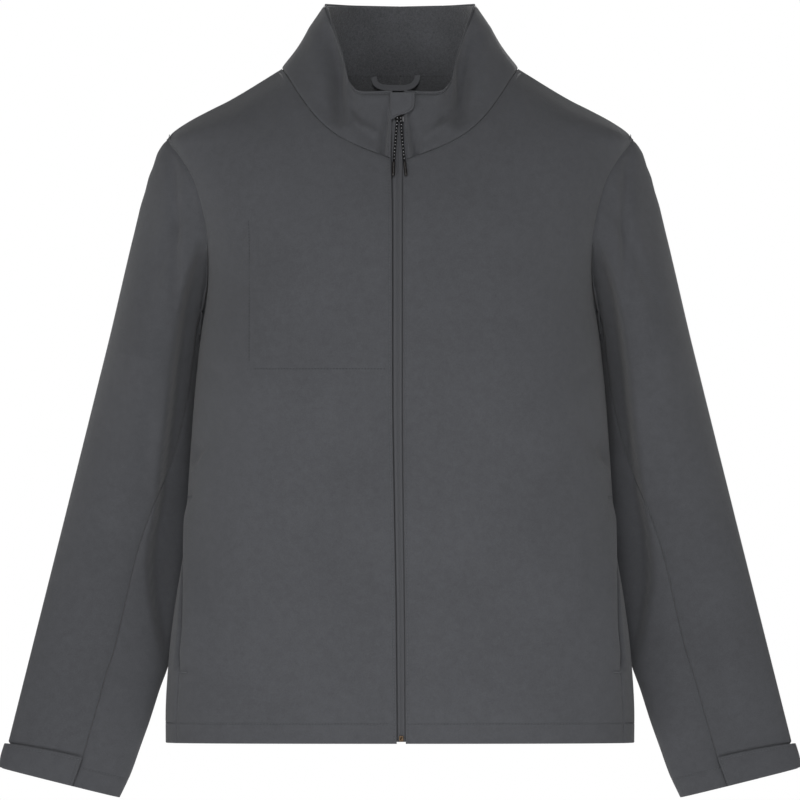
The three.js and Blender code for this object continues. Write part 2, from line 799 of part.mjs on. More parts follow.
// Centre line of the zip tape's face: up the front, then up the collar.
function zipFace(z) {
  const neckZ = frontNeck.rows[0][1];
  if (z < neckZ) {
    return -read(bodySections, "front", z) + tapeDrop;
  }
  const neckY = faceY(-1, 8, neckZ);
  return lerp(neckY, collarFrontTop.y, (z - neckZ) / (collarFrontTop.z - neckZ)) + tapeDrop;
}

function zipTape() {
  const thickness = 1;
  const collarTapeHalf = 4.8;
  const neckZ = frontNeck.rows[0][1];
  const levels = [...steps(hemZ + 2, neckZ - 9, 14), ...steps(neckZ - 2, collarFrontTop.z - 4, 3)];
  const outer = levels.map((z) => {
    const half = z < neckZ - 5 ? tapeHalf : collarTapeHalf;
    return steps(-half, half, 2).map((x) => {
      const fall = 0.55 * (x / tapeHalf) ** 2;
      return vec(x + read(zipLine, "middle", z), zipFace(z) + fall, z);
    });
  });
  const inner = outer.map((row) => row.map((p) => p.clone().add(vec(0, thickness, 0))));
  return wall("zip_tape", zipBlack, outer, inner);
}

// The collar's front leans back by this angle, and the slider and the guard lean with it.
const neckFrontZ = frontNeck.rows[0][1];
const collarLean = Math.atan2(collarFrontTop.y - faceY(-1, 8, neckFrontZ), collarFrontTop.z - neckFrontZ);

const sliderTopWidth = 6.4;
const sliderHeight = 10;
const sliderDepth = 2.6;
const sliderZ = -49.5;

// Stands a flat outline up, facing the front, with its back a given way before the tape's face.
function standingPlate(name, material, shape, thickness, ahead, x, z) {
  const geometry = new THREE.ExtrudeGeometry(shape, { depth: thickness, bevelEnabled: false, curveSegments: 6 });
  geometry.rotateX(Math.PI / 2);
  const mesh = new THREE.Mesh(geometry, material);
  mesh.name = name;
  mesh.position.set(x, zipFace(z) - ahead, z);
  mesh.rotation.x = -collarLean;
  return mesh;
}

function zipSlider() {
  const half = sliderTopWidth / 2;
  const narrow = half * 0.66;
  const shape = new THREE.Shape();
  shape.moveTo(-half, sliderHeight / 2);
  shape.lineTo(-narrow, -sliderHeight / 2);
  shape.lineTo(narrow, -sliderHeight / 2);
  shape.lineTo(half, sliderHeight / 2);
  shape.closePath();
  return standingPlate("zip_slider", zipBlack, shape, sliderDepth, seamGap, read(zipLine, "middle", sliderZ), sliderZ);
}

// Chin guard: a flap sewn at the wearer's right edge that covers the top of the zip.
function chinGuard() {
  const left = -9.7;
  const right = 15.1;
  const drop = 27.3;
  const shape = new THREE.Shape();
  shape.moveTo(left, 0);
  shape.lineTo(left, -drop);
  shape.quadraticCurveTo(left + 4, -drop + 2.6, -2.5, -23.6);
  shape.lineTo(6.6, -20.1);
  shape.quadraticCurveTo(right - 1, -17.4, right, -10.9);
  shape.lineTo(right, -0.7);
  shape.closePath();
  const top = collarFrontTop.z - 0.6;
  const ahead = seamGap + sliderDepth + seamGap;
  return standingPlate("chin_guard", shellGrey, shape, cloth, ahead, 0, top);
}

function zipEndBox() {
  const width = 4.6;
  const depth = 2.4;
  const height = 6;
  const z = hemZ + 2.4 + height / 2;
  const mesh = new THREE.Mesh(new THREE.BoxGeometry(width, depth, height), endBrass);
  mesh.name = "zip_end_box";
  mesh.position.set(read(zipLine, "middle", z), zipFace(z + height / 2) - 2 * seamGap - depth / 2, z);
  return mesh;
}

// Puller cords: two strands that hang from the slider, each with a tip at its free end.
const pullerRoutes = {
  right: [[-2.5, -51.5], [-4.2, -70], [-5.6, -88], [-6.2, -96.5]],
  left: [[0.8, -51.5], [2.0, -70], [3.7, -88], [4.6, -96.5]],
};
const tipEnds = { right: [-6.9, -111.5], left: [6.2, -111.5] };
const cordAhead = seamGap + sliderDepth + seamGap + cordRadius;

function beforeZip(x, z) {
  return vec(x, zipFace(z) - cordAhead, z);
}

function pullerCord(word) {
  const route = pullerRoutes[word].map(([x, z]) => beforeZip(x, z));
  const curve = new THREE.CatmullRomCurve3(route, false, "centripetal");
  const section = new THREE.Shape();
  const sides = 8;
  for (let k = 0; k <= sides; k += 1) {
    const turn = 2 * Math.PI * k / sides;
    const place = [cordRadius * Math.cos(turn), cordRadius * Math.sin(turn)];
    if (k === 0) {
      section.moveTo(...place);
    } else if (k < sides) {
      section.lineTo(...place);
    } else {
      section.closePath();
    }
  }
  const geometry = new THREE.ExtrudeGeometry(section, { steps: 8, bevelEnabled: false, extrudePath: curve });
  const mesh = new THREE.Mesh(geometry, zipBlack);
  mesh.name = `puller_cord_${word}`;
  return mesh;
}

function pullerTip(word) {
  const route = pullerRoutes[word];
  const start = beforeZip(...route[route.length - 1]);
  const end = beforeZip(...tipEnds[word]);
  const length = start.distanceTo(end) - seamGap;
  const profile = [
    new THREE.Vector2(0, 0),
    new THREE.Vector2(tipRadius, 0),
    new THREE.Vector2(tipRadius, length - tipRadius),
    new THREE.Vector2(tipRadius * 0.72, length - tipRadius * 0.3),
    new THREE.Vector2(0, length),
  ];
  const mesh = new THREE.Mesh(new THREE.LatheGeometry(profile, 10), tipBrown);
  const along = end.clone().sub(start).normalize();
  mesh.name = `puller_tip_${word}`;
  mesh.position.copy(start).addScaledVector(along, seamGap);
  mesh.quaternion.setFromUnitVectors(vec(0, 1, 0), along);
  return mesh;
}

// Hanger loop: a strap sewn in at the back of the neck that hangs in a shallow bow.
function hangerLoop() {
  const thickness = 1.4;
  const top = -6.4;
  const shape = new THREE.Shape();
  shape.moveTo(-30, top);
  shape.quadraticCurveTo(-28.5, -18.5, -19, -20.6);
  shape.lineTo(11, -20.6);
  shape.quadraticCurveTo(20.5, -18.5, 22, top);
  shape.lineTo(15, top);
  shape.quadraticCurveTo(14, -12.6, 9, -13.6);
  shape.lineTo(-17, -13.6);
  shape.quadraticCurveTo(-22, -12.6, -23, top);
  shape.closePath();
  const geometry = new THREE.ExtrudeGeometry(shape, { depth: thickness, bevelEnabled: false, curveSegments: 5 });
  geometry.rotateX(Math.PI / 2);
  const mesh = new THREE.Mesh(geometry, shellGrey);
  mesh.name = "hanger_loop";
  mesh.position.set(0, 58.4, 0);
  return mesh;
}

const jacket = new THREE.Group();
const sides = [["right", -1], ["left", 1]];

for (const [word, side] of sides) {
  jacket.add(frontPanel(`front_${word}`, side));
}
jacket.add(backPanel());
for (const [word, side] of sides) {
  jacket.add(sleevePiece(`sleeve_upper_${word}`, side, "upper"));
  jacket.add(sleevePiece(`sleeve_under_${word}`, side, "under"));
  jacket.add(cuffTab(`cuff_tab_${word}`, side));
  jacket.add(pocketFacing(`pocket_facing_${word}`, side));
}
jacket.add(collarLayer("collar_outer", shellGrey, 0, 0, 1));
jacket.add(collarLayer("collar_inner", liningGrey, cloth + seamGap, 0.02, 0.985));
jacket.add(hangerLoop());
jacket.add(zipTape());
jacket.add(zipSlider());
jacket.add(zipEndBox());
jacket.add(chinGuard());
for (const [word] of sides) {
  jacket.add(pullerCord(word));
  jacket.add(pullerTip(word));
}

export default jacket;
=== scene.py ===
import math
import bpy
import numpy as np
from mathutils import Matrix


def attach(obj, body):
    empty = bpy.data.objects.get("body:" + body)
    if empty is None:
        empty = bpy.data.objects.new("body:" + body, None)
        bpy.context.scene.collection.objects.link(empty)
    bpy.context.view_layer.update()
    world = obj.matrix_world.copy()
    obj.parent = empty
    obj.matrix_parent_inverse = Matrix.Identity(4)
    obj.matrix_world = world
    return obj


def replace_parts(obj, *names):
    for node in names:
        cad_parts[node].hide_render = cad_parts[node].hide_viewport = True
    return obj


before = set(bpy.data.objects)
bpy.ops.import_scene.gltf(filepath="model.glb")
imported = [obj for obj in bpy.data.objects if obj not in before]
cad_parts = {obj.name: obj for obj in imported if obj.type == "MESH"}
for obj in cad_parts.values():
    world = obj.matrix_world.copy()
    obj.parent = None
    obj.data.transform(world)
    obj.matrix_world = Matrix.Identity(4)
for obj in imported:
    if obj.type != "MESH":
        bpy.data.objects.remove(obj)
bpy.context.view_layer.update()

mm = 0.001


# Tables and curves

# Rows with named columns, in rising order of the first one.
def table(columns, *rows):
    data = np.array([list(row) for row in rows], float)
    data = data[np.argsort(data[:, 0], kind="stable")]
    found = {name: data[:, k] for k, name in enumerate(columns.split())}
    found["at"] = data[:, 0]
    return found


# A smooth way from a to b as t goes from 0 to 1; start and end are its slopes there.
def curve(a, b, start, end, t):
    return (a * (1 + 2 * t) * (1 - t) ** 2 + b * t * t * (3 - 2 * t)
            + start * t * (1 - t) ** 2 - end * t * t * (1 - t))


# One column at any place between the rows, smooth and without overshoot.
def read(source, column, place):
    x, y = source["at"], source[column]
    place = np.clip(np.asarray(place, float), x[0], x[-1])
    k = np.clip(np.searchsorted(x, place, side="right") - 1, 0, len(x) - 2)
    slope = np.diff(y) / np.diff(x)
    tangent = np.concatenate([slope[:1], np.zeros(len(x) - 2), slope[-1:]])
    before, after = slope[:-1], slope[1:]
    same = before * after > 0
    tangent[1:-1] = np.where(same, 2 * before * after / np.where(same, before + after, 1), 0)
    step = (x[1:] - x[:-1])[k]
    return curve(y[k], y[k + 1], step * tangent[k], step * tangent[k + 1], (place - x[k]) / step)


def smooth(low, high, value):
    t = np.clip((value - low) / (high - low), 0, 1)
    return t * t * (3 - 2 * t)


def mix(a, b, t):
    return a + (b - a) * t


def stack(x, y, z):
    return np.stack(np.broadcast_arrays(x, y, z), axis=-1).astype(float)


def unit(v):
    return v / np.maximum(np.linalg.norm(v, axis=-1, keepdims=True), 1e-9)


# How far along a line each of its points lies.
def lengthsAlong(points):
    return np.concatenate([[0], np.cumsum(np.linalg.norm(np.diff(points, axis=0), axis=1))])


# Sizes of the jacket in millimetres, the same as in its solids

cloth = 1.8
seamGap = 0.3
hemZ, shoulderZ, underarmZ = -688, -71, -272
neckSideX, shoulderX = 121, 237.5
sleeveLean, sleeveOuterX, sleeveOuterZ = 0.25, 256.5, -114
capEndZ, cuffZ = -287, -714.5
pocketTopZ, pocketBottomZ, pocketLift = -437, -615, 3.4
tapeDrop = 2.4

bodySections = table(
    "z halfWidth front back square",
    (-688, 239, 82, 70, 2.6), (-645, 239, 87, 74, 2.6), (-606, 236, 91, 78, 2.6),
    (-574, 233, 94, 81, 2.55), (-541, 229, 96, 84, 2.5), (-508, 222, 99, 87, 2.45),
    (-440, 217, 106, 93, 2.4), (-390, 213.7, 111, 99, 2.4), (-339, 210, 116, 105, 2.4),
    (-272, 203, 121, 112, 2.35), (-208, 197, 121, 116, 2.3), (-173, 205, 118, 117, 2.25),
    (-137, 217, 111, 115, 2.15), (-104, 230, 100, 107, 2.0), (-71, 237.5, 89, 94, 1.9),
    (-36, 180, 75, 77, 1.8), (0, 121, 60, 60, 1.8))
shoulderLine = table(
    "z halfWidth",
    (-71, 237.5), (-66, 233.3), (-54.5, 216.8), (-42, 193.7), (-32.6, 174.9), (0, 121))
sideSeam = table(
    "z angle",
    (-688, 70), (-615, 69.5), (-574, 68.8), (-541, 71.5), (-508, 79), (-440, 88), (-339, 90), (-272, 92))
armhole = table(
    "z frontAngle backAngle",
    (-272, 92, 92), (-240, 86, 95), (-208, 78.8, 101), (-189, 74, 104.5), (-173, 72.8, 107),
    (-154, 70, 109), (-137, 68.5, 110.5), (-121, 68.5, 110), (-104, 70, 108), (-89, 75, 104),
    (-71, 90, 90))
zipLine = table(
    "z middle half",
    (-688, 1.3, 4.6), (-560, 0.4, 4.8), (-420, -1.6, 5.2), (-340, -2.4, 5.5), (-135, -2.5, 5.7),
    (-93, -2.9, 6.5), (-48, -2.3, 7.3), (-20, -1.6, 7.4))
frontNeck = table(
    "x z",
    (8, -93.5), (43, -80), (67, -67), (86, -50), (103.5, -26.5), (114, -10), (121, 0))
backNeck = table("x z", (0, -7), (40, -7), (70, -6), (105, -3), (121, 0))
sleeveRings = table(
    "z width depth middleY",
    (-714.5, 124, 38, 22), (-687, 129.5, 38, 24), (-662, 132, 40, 26), (-632, 135, 42, 28),
    (-601, 137, 45, 31), (-573, 139.7, 50, 34), (-542, 138, 56, 37), (-490, 132, 72, 41),
    (-440, 125, 88, 42), (-390, 117, 104, 42), (-340, 107, 119, 38), (-287, 98, 130, 32))
sleeveSeams = table(
    "z frontAngle backAngle",
    (-714.5, 102, 262), (-601, 100, 260), (-542, 101, 258), (-480, 104, 256), (-425, 114, 252),
    (-340, 145, 248), (-287, 160, 245), (-71, 160, 242))
collarTop = ((6, -80, -24), (43, -72, -23.5), (51, -64, -16), (54.6, -58, -3), (58.6, -50, 14),
             (67, -34, 40), (74, -12, 60), (76, 8, 66), (70, 32, 66), (50, 50, 65), (0, 60, 64))
collarSide = 7
panelRows = ((-688, -688), (-652, -652), (-615, -615), (-574, -574), (-530, -530), (-484, -484),
             (-437, -437), (-388, -388), (-340, -330), (-298, -272), (-250, -225), (-202, -172),
             (-158, -121))
yokeShare, ridgeShare = 0.5, 0.18
underarmRow = 9
lastRow = len(panelRows) + 2


# Level sections of the body

def halfWidthAt(z):
    return np.where(z > shoulderZ, read(shoulderLine, "halfWidth", z), read(bodySections, "halfWidth", z))


def bodyPoint(angle, z):
    across = np.abs(np.sin(np.radians(angle)))
    along = np.cos(np.radians(angle))
    power = 2 / read(bodySections, "square", z)
    reach = np.where(along > 0, -read(bodySections, "front", z), read(bodySections, "back", z))
    return stack(halfWidthAt(z) * across ** power, reach * np.abs(along) ** power, z)


def bodyShare(x, y, z):
    square = read(bodySections, "square", z)
    reach = np.where(y < 0, read(bodySections, "front", z), read(bodySections, "back", z))
    return (np.abs(x) / halfWidthAt(z)) ** square + (np.abs(y) / reach) ** square


def bodyNormal(p):
    x, y, z = p[..., 0], p[..., 1], np.minimum(p[..., 2], -0.5)
    return unit(stack(bodyShare(x + 0.5, y, z) - bodyShare(x - 0.5, y, z),
                      bodyShare(x, y + 0.5, z) - bodyShare(x, y - 0.5, z),
                      bodyShare(x, y, z + 0.5) - bodyShare(x, y, z - 0.5)))


# The y of the front (-1) or back (1) face over a point of the front view.
def faceY(face, x, z):
    square = read(bodySections, "square", z)
    reach = read(bodySections, "front" if face < 0 else "back", z)
    rest = 1 - np.minimum(1, np.abs(x) / halfWidthAt(z)) ** square
    return face * reach * np.maximum(0, rest) ** (1 / square)


def widthAt(y, z):
    square = read(bodySections, "square", z)
    reach = np.where(y < 0, read(bodySections, "front", z), read(bodySections, "back", z))
    rest = 1 - np.minimum(1, np.abs(y) / reach) ** square
    return halfWidthAt(z) * np.maximum(0, rest) ** (1 / square)


# Panels of the body: u runs from the centre to the outer edge, v up through the rows

def zipEdge(side, z):
    return read(zipLine, "half", z) + side * read(zipLine, "middle", z)


def angleOfX(x, z):
    share = np.clip(x / halfWidthAt(z), 0, 1) ** (read(bodySections, "square", z) / 2)
    return np.degrees(np.arcsin(share))


def outerAngle(face, z):
    onArmhole = read(armhole, "frontAngle" if face < 0 else "backAngle", z)
    return np.where(z < underarmZ, read(sideSeam, "angle", z), onArmhole)


def levelRow(face, side, row, u):
    centre, outer = row
    inner = angleOfX(zipEdge(side, centre), centre) if face < 0 else 180
    return bodyPoint(mix(inner, outerAngle(face, outer), u), mix(centre, outer, u * u))


def alongNeck(face, side, share):
    source = frontNeck if face < 0 else backNeck
    start = zipEdge(side, source["z"][0]) if face < 0 else 0
    x = mix(start, neckSideX, np.maximum(share, 0) ** 0.92)
    z = read(source, "z", x)
    return stack(x, faceY(face, x, z), z)


def topRow(face, side, u):
    z = mix(0, shoulderZ, np.clip(u * 2 - 1, 0, 1))
    ridge = stack(halfWidthAt(z), 0, z)
    return np.where((u <= 0.5)[:, None], alongNeck(face, side, np.minimum(u * 2, 1)), ridge)


def yokeRow(face, side, share, u):
    top, low = topRow(face, side, u), levelRow(face, side, panelRows[-1], u)
    z = mix(top[:, 2], low[:, 2], share)
    edge = bodyPoint(outerAngle(face, z), z)[:, 0]
    plainEdge = mix(shoulderX, low[:, 0], share)
    near = np.where(u >= 1, 1, 0.8) * smooth(0.6, 1, u) * (u > 0.5)
    x = mix(top[:, 0], low[:, 0], share) + (edge - plainEdge) * near
    return stack(x, faceY(face, x, z), z)


def panelPoints(face, side, u, v):
    rows = [levelRow(face, side, row, u) for row in panelRows]
    rows += [yokeRow(face, side, yokeShare, u), yokeRow(face, side, ridgeShare, u), topRow(face, side, u)]
    rows = np.array(rows)
    rows = np.concatenate([2 * rows[:1] - rows[1:2], rows, 2 * rows[-1:] - rows[-2:-1]])
    k = np.minimum(np.floor(v).astype(int), lastRow - 1)
    t = (v - k)[:, None, None]
    a, b = rows[k + 1], rows[k + 2]
    return curve(a, b, (b - rows[k]) / 2, (rows[k + 3] - a) / 2, t)


def pocketRise(u, z):
    middle = smooth(pocketBottomZ, pocketBottomZ + 26, z) * (1 - smooth(pocketTopZ - 26, pocketTopZ, z))
    return pocketLift * middle * smooth(0.72, 0.97, u)


# The back lies deeper than the front behind the pocket's mouth, to show the gap.
pocketHollow = 9.0


def pocketSink(u, z):
    middle = smooth(pocketBottomZ, pocketBottomZ + 14, z) * (1 - smooth(pocketTopZ - 40, pocketTopZ - 8, z))
    return pocketHollow * middle * smooth(0.94, 0.985, u)


# Creases of the body in its own front and back view: a line from x0, z0 to x1, z1, its half
# width and its depth. A negative depth is a ridge.
frontCreases = (
    (183, -354, 218, -420, 9, 2.6), (150, -150, 178, -285, 20, 2.0), (120, -560, 190, -600, 26, 1.6),
    (60, -320, 84, -470, 30, 1.4), (216, -420, 198, -392, 3.2, -3.2), (215, -404, 206, -384, 7, 3.6),
    (110, -205, 150, -150, 26, 1.3), (168, -300, 150, -402, 18, -1.0), (40, -150, 70, -240, 24, 1.0),
    (92, -520, 60, -650, 26, 1.0), (204, -500, 190, -560, 8, 1.0), (30, -430, 46, -560, 16, -0.8),
    (205, -300, 178, -318, 7, 1.5), (21, -84, 24, -122, 4.2, 4.0))
backCreases = (
    (40, -60, 120, -130, 24, 3.2), (150, -150, 178, -300, 16, 4.4), (60, -330, 124, -430, 20, 3.6),
    (0, -400, 64, -490, 20, 3.0), (110, -560, 196, -606, 18, 3.2), (182, -360, 214, -430, 9, 3.4),
    (26, -556, 94, -650, 18, 2.6), (20, -120, 30, -260, 20, -2.0))


def creaseDepth(creases, x, z):
    depth = np.zeros_like(x)
    for x0, z0, x1, z1, halfWidth, most in creases:
        length = math.hypot(x1 - x0, z1 - z0)
        along = ((x - x0) * (x1 - x0) + (z - z0) * (z1 - z0)) / length ** 2
        off = ((x - x0) * (z1 - z0) - (z - z0) * (x1 - x0)) / length
        taper = np.maximum(0, 1 - (2 * np.clip(along, -0.2, 1.2) - 1) ** 2 / 1.6)
        depth += most * taper * np.exp(-(off / halfWidth) ** 2)
    return depth


def shapedPanel(face, side, u, v):
    p = panelPoints(face, side, u, v)
    normal = bodyNormal(p)
    across, up = np.meshgrid(u, v)
    fade = smooth(0, 0.12, across) * (1 - smooth(0.86, 1, across)) * (1 - smooth(12.5, 15, up))
    out = -creaseDepth(frontCreases if face < 0 else backCreases, p[..., 0], p[..., 2]) * fade
    if face < 0:
        out += pocketRise(across, p[..., 2])
    else:
        out -= pocketSink(across, p[..., 2])
    return p + normal * out[..., None], normal


# Sleeves

sleeveDown = unit(np.array([sleeveLean, 0, -1]))
sleeveOut = unit(np.array([1, 0, sleeveLean]))


def armholeHalf(face):
    v = np.linspace(lastRow, underarmRow, 160)
    edge = shapedPanel(face, 1, np.array([0.99, 1.0]), v)[0][:, 1]
    length = lengthsAlong(edge)
    return edge, 180 * length / length[-1]


frontEdge, frontTurns = armholeHalf(-1)
backEdge, backTurns = armholeHalf(1)
armholeTurns = np.concatenate([frontTurns, 360 - backTurns[-2::-1]])
armholeEdge = np.concatenate([frontEdge, backEdge[-2::-1]])


def armholePoint(turn):
    turn = turn % 360
    return stack(*(np.interp(turn, armholeTurns, armholeEdge[:, k]) for k in range(3)))


def ringPoint(turn, z):
    outerX = sleeveOuterX + sleeveLean * (sleeveOuterZ - z)
    halfWidth = read(sleeveRings, "width", z) / 2
    halfDepth = read(sleeveRings, "depth", z) / 2
    reach = halfWidth * (np.cos(np.radians(turn)) - 1)
    middle = stack(outerX, read(sleeveRings, "middleY", z) - halfDepth * np.sin(np.radians(turn)), z)
    return middle + sleeveOut * reach[..., None]


def capDirection(turn):
    up = ((1 + np.cos(np.radians(turn))) / 2)[..., None]
    forward = np.sin(np.radians(turn))[..., None]
    return unit(np.array([0.8, 0, -0.6]) * up + np.array([0.16, 0.25, -0.95]) * (1 - up)
                + np.array([0.84, -0.3, -0.45]) * np.maximum(0, forward)
                + np.array([0.8, 0.42, -0.42]) * np.maximum(0, -forward))


def besideBody(p, clearance, softness):
    least = widthAt(p[..., 1], np.clip(p[..., 2], hemZ, shoulderZ - 12)) + clearance
    over = p[..., 0] - least
    p[..., 0] = np.where(over > softness, p[..., 0],
                         least + softness * np.exp(np.minimum(over - softness, 0) / softness))
    return p


# The cap leaves the armhole and meets the tube with pulls that are shares of the way between them.
topPull, underPull, endPull = 0.32, 0.75, 1.05


# turn and t are grids: t from 0 to 1 is the cap, from 1 to 2 the tube down to the cuff.
def sleevePoints(turn, t):
    start, end = armholePoint(turn), ringPoint(turn, np.full_like(turn, capEndZ))
    chord = np.linalg.norm(end - start, axis=-1, keepdims=True)
    startPull = mix(underPull, topPull, ((1 + np.cos(np.radians(turn))) / 2)[..., None]) * chord
    s = np.minimum(t, 1)[..., None]
    cap = curve(start, end, capDirection(turn) * startPull, sleeveDown * endPull * chord, s)
    tube = ringPoint(turn, mix(capEndZ, cuffZ, np.maximum(t - 1, 0)))
    p = np.where((t >= 1)[..., None], tube, cap)
    return besideBody(p, seamGap + 2.2 * smooth(0, 0.6, t), 0.02 + 3 * smooth(0, 0.4, t))


# Collar: around runs from the zip (0) by the neck side (0.5) to the back (1), up from seam to top

# A smooth curve through the points, with its place along it from 0 to 1.
def edgeTable(points):
    points = np.array(points, float)
    points = np.concatenate([2 * points[:1] - points[1:2], points, 2 * points[-1:] - points[-2:-1]])
    found = []
    for k in range(1, len(points) - 2):
        p0, p1, p2, p3 = points[k - 1:k + 3]
        t0, t1, t2 = (math.sqrt(math.dist(a, b)) for a, b in ((p0, p1), (p1, p2), (p2, p3)))
        start = ((p1 - p0) / t0 - (p2 - p0) / (t0 + t1) + (p2 - p1) / t1) * t1
        end = ((p2 - p1) / t1 - (p3 - p1) / (t1 + t2) + (p3 - p2) / t2) * t1
        t = np.linspace(0, 1, 24, endpoint=False)[:, None]
        found.append(curve(p1, p2, start, end, t))
    found = np.concatenate(found + [points[-2:-1]])
    length = lengthsAlong(found)
    return length / length[-1], found


def alongEdge(edge, share):
    return stack(*(np.interp(share, edge[0], edge[1][:, k]) for k in range(3)))


topFront = edgeTable(collarTop[:collarSide + 1])
topBack = edgeTable(collarTop[collarSide:])


def collarEdge(side, around, upper):
    front = around <= 0.5
    frontShare = np.clip(around * 2, 0, 1)
    backShare = np.clip(around * 2 - 1, 0, 1)
    if upper:
        a, b = alongEdge(topFront, frontShare), alongEdge(topBack, backShare)
        a[..., 0] += side * read(zipLine, "middle", a[..., 2]) * (1 - smooth(0, 0.3, frontShare))
        return np.where(front[..., None], a, b)
    a = alongNeck(-1, side, frontShare)
    b = alongNeck(1, side, 1 - backShare)
    return np.where(front[..., None], a, b) + [0, 0, seamGap]


# Folds of the collar: share of the way round, half width, lowest and highest reach, and rise.
collarFolds = ((0.06, 0.035, 0.1, 0.8, -1.5), (0.17, 0.03, 0.1, 0.75, 2.2), (0.26, 0.035, 0.15, 0.95, -3.2))
# Creases of the collar in the front view, as the body's.
collarCreases = {-1: ((12.5, -44, 21.5, -110, 3.4, 7.5), (46, -54, 22, -69, 3.4, -2.6),
                      (72, 34, 58, -50, 10, 14), (52, -36, 36, -58, 3.6, 3.5), (84, -30, 74, -52, 6, 1.6)),
                 1: ((8.5, -44, 20, -110, 3.4, 7.5), (47, -55, 24, -72, 3.4, -2.6),
                     (72, 34, 58, -50, 10, 14), (54, -38, 38, -60, 3.6, 3.5), (86, -30, 76, -52, 6, 1.6))}


def collarPoints(side, around, up):
    low, high = collarEdge(side, around, False), collarEdge(side, around, True)
    p = mix(low, high, up[..., None])
    sag = 2.2 * np.sin(math.pi * np.minimum(1, up * 1.6)) * smooth(0.3, 0.5, around)
    level = unit(stack(p[..., 0], p[..., 1] + 15, 0))
    return p - level * sag[..., None]


def collarSurface(side, around, up):
    step = 0.01
    a, b = np.clip(around, step, 1 - step), np.clip(up, step, 1 - step)
    alongU = collarPoints(side, a + step, b) - collarPoints(side, a - step, b)
    alongV = collarPoints(side, a, b + step) - collarPoints(side, a, b - step)
    normal = unit(np.cross(alongU, alongV))
    normal[..., 0] *= np.clip((1 - around) / 0.03, 0, 1)
    normal = unit(normal)
    rise = np.zeros_like(around)
    for place, halfWidth, low, high, most in collarFolds:
        window = smooth(low - 0.1, low + 0.15, up) * (1 - smooth(high - 0.15, high + 0.1, up))
        rise += most * window * np.exp(-((around - place) / halfWidth) ** 2)
    p = collarPoints(side, around, up)
    inFront = 1 - smooth(0.42, 0.52, around)
    rim = smooth(0, 0.015, around) * (1 - smooth(0.9, 1, up)) * smooth(-0.05, 0.05, up)
    rise -= creaseDepth(collarCreases[side], p[..., 0], p[..., 2]) * inFront * rim
    return p + normal * rise[..., None], normal


# Meshes


def newMesh(name, points, faces, material, uv=None, lining=None):
    mesh = bpy.data.meshes.new(name)
    mesh.from_pydata((np.asarray(points) * mm).tolist(), [], [list(map(int, f)) for f in faces])
    mesh.polygons.foreach_set("use_smooth", [True] * len(mesh.polygons))
    if uv is not None:
        corner = np.empty(len(mesh.loops), int)
        mesh.loops.foreach_get("vertex_index", corner)
        mesh.uv_layers.new(name="cloth").data.foreach_set("uv", (np.asarray(uv)[corner] * mm).ravel())
    mesh.update()
    piece = bpy.data.objects.new(name, mesh)
    bpy.context.collection.objects.link(piece)
    mesh.materials.append(material)
    if lining is not None:
        mesh.materials.append(fleece)
        mesh.polygons.foreach_set("material_index", lining)
    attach(piece, "root")
    return piece


# Four-sided faces between closed rings of points, one ring after the other.
def ringFaces(rings, count):
    number = np.arange(rings * count).reshape(rings, count)
    onward = np.roll(number, -1, axis=1)
    return np.stack([number[:-1], onward[:-1], onward[1:], number[1:]], -1).reshape(-1, 4)


def signedVolume(points, faces):
    a, b, c = points[faces[:, 0]], points[faces[:, 1]], points[faces[:, 2]]
    d = points[faces[:, 3]]
    return (np.einsum("ij,ij->", a, np.cross(b, c)) + np.einsum("ij,ij->", a, np.cross(c, d)))


# Sample places from 0 to length in millimetres, with finer ones round the given places.
def places(length, step, fine=()):
    found = [np.linspace(0, length, max(2, int(round(length / step)) + 1))]
    for middle, reach, fineStep in fine:
        near = np.arange(middle - reach, middle + reach + fineStep / 2, fineStep)
        found.append(near[(near > 0) & (near < length)])
    every = np.unique(np.round(np.concatenate(found), 3))
    keep = np.concatenate([[True], np.diff(every) > 0.09])
    keep[-1] = True
    return every[keep] / length


# How a cut edge rolls over, and how two pieces dip towards the seam between them.
edgeLook = {"rollSteps": (0.1, 0.3, 0.55, 0.9, 1.5), "rollShare": 0.96, "thinnest": 0.05,
            "seamDip": 1.1, "seamReach": 1.9, "seamRadius": 0.5}


def rollPlaces(length):
    near = edgeLook["rollSteps"]
    return [(value, 0.001, 1) for value in near] + [(length - value, 0.001, 1) for value in near]


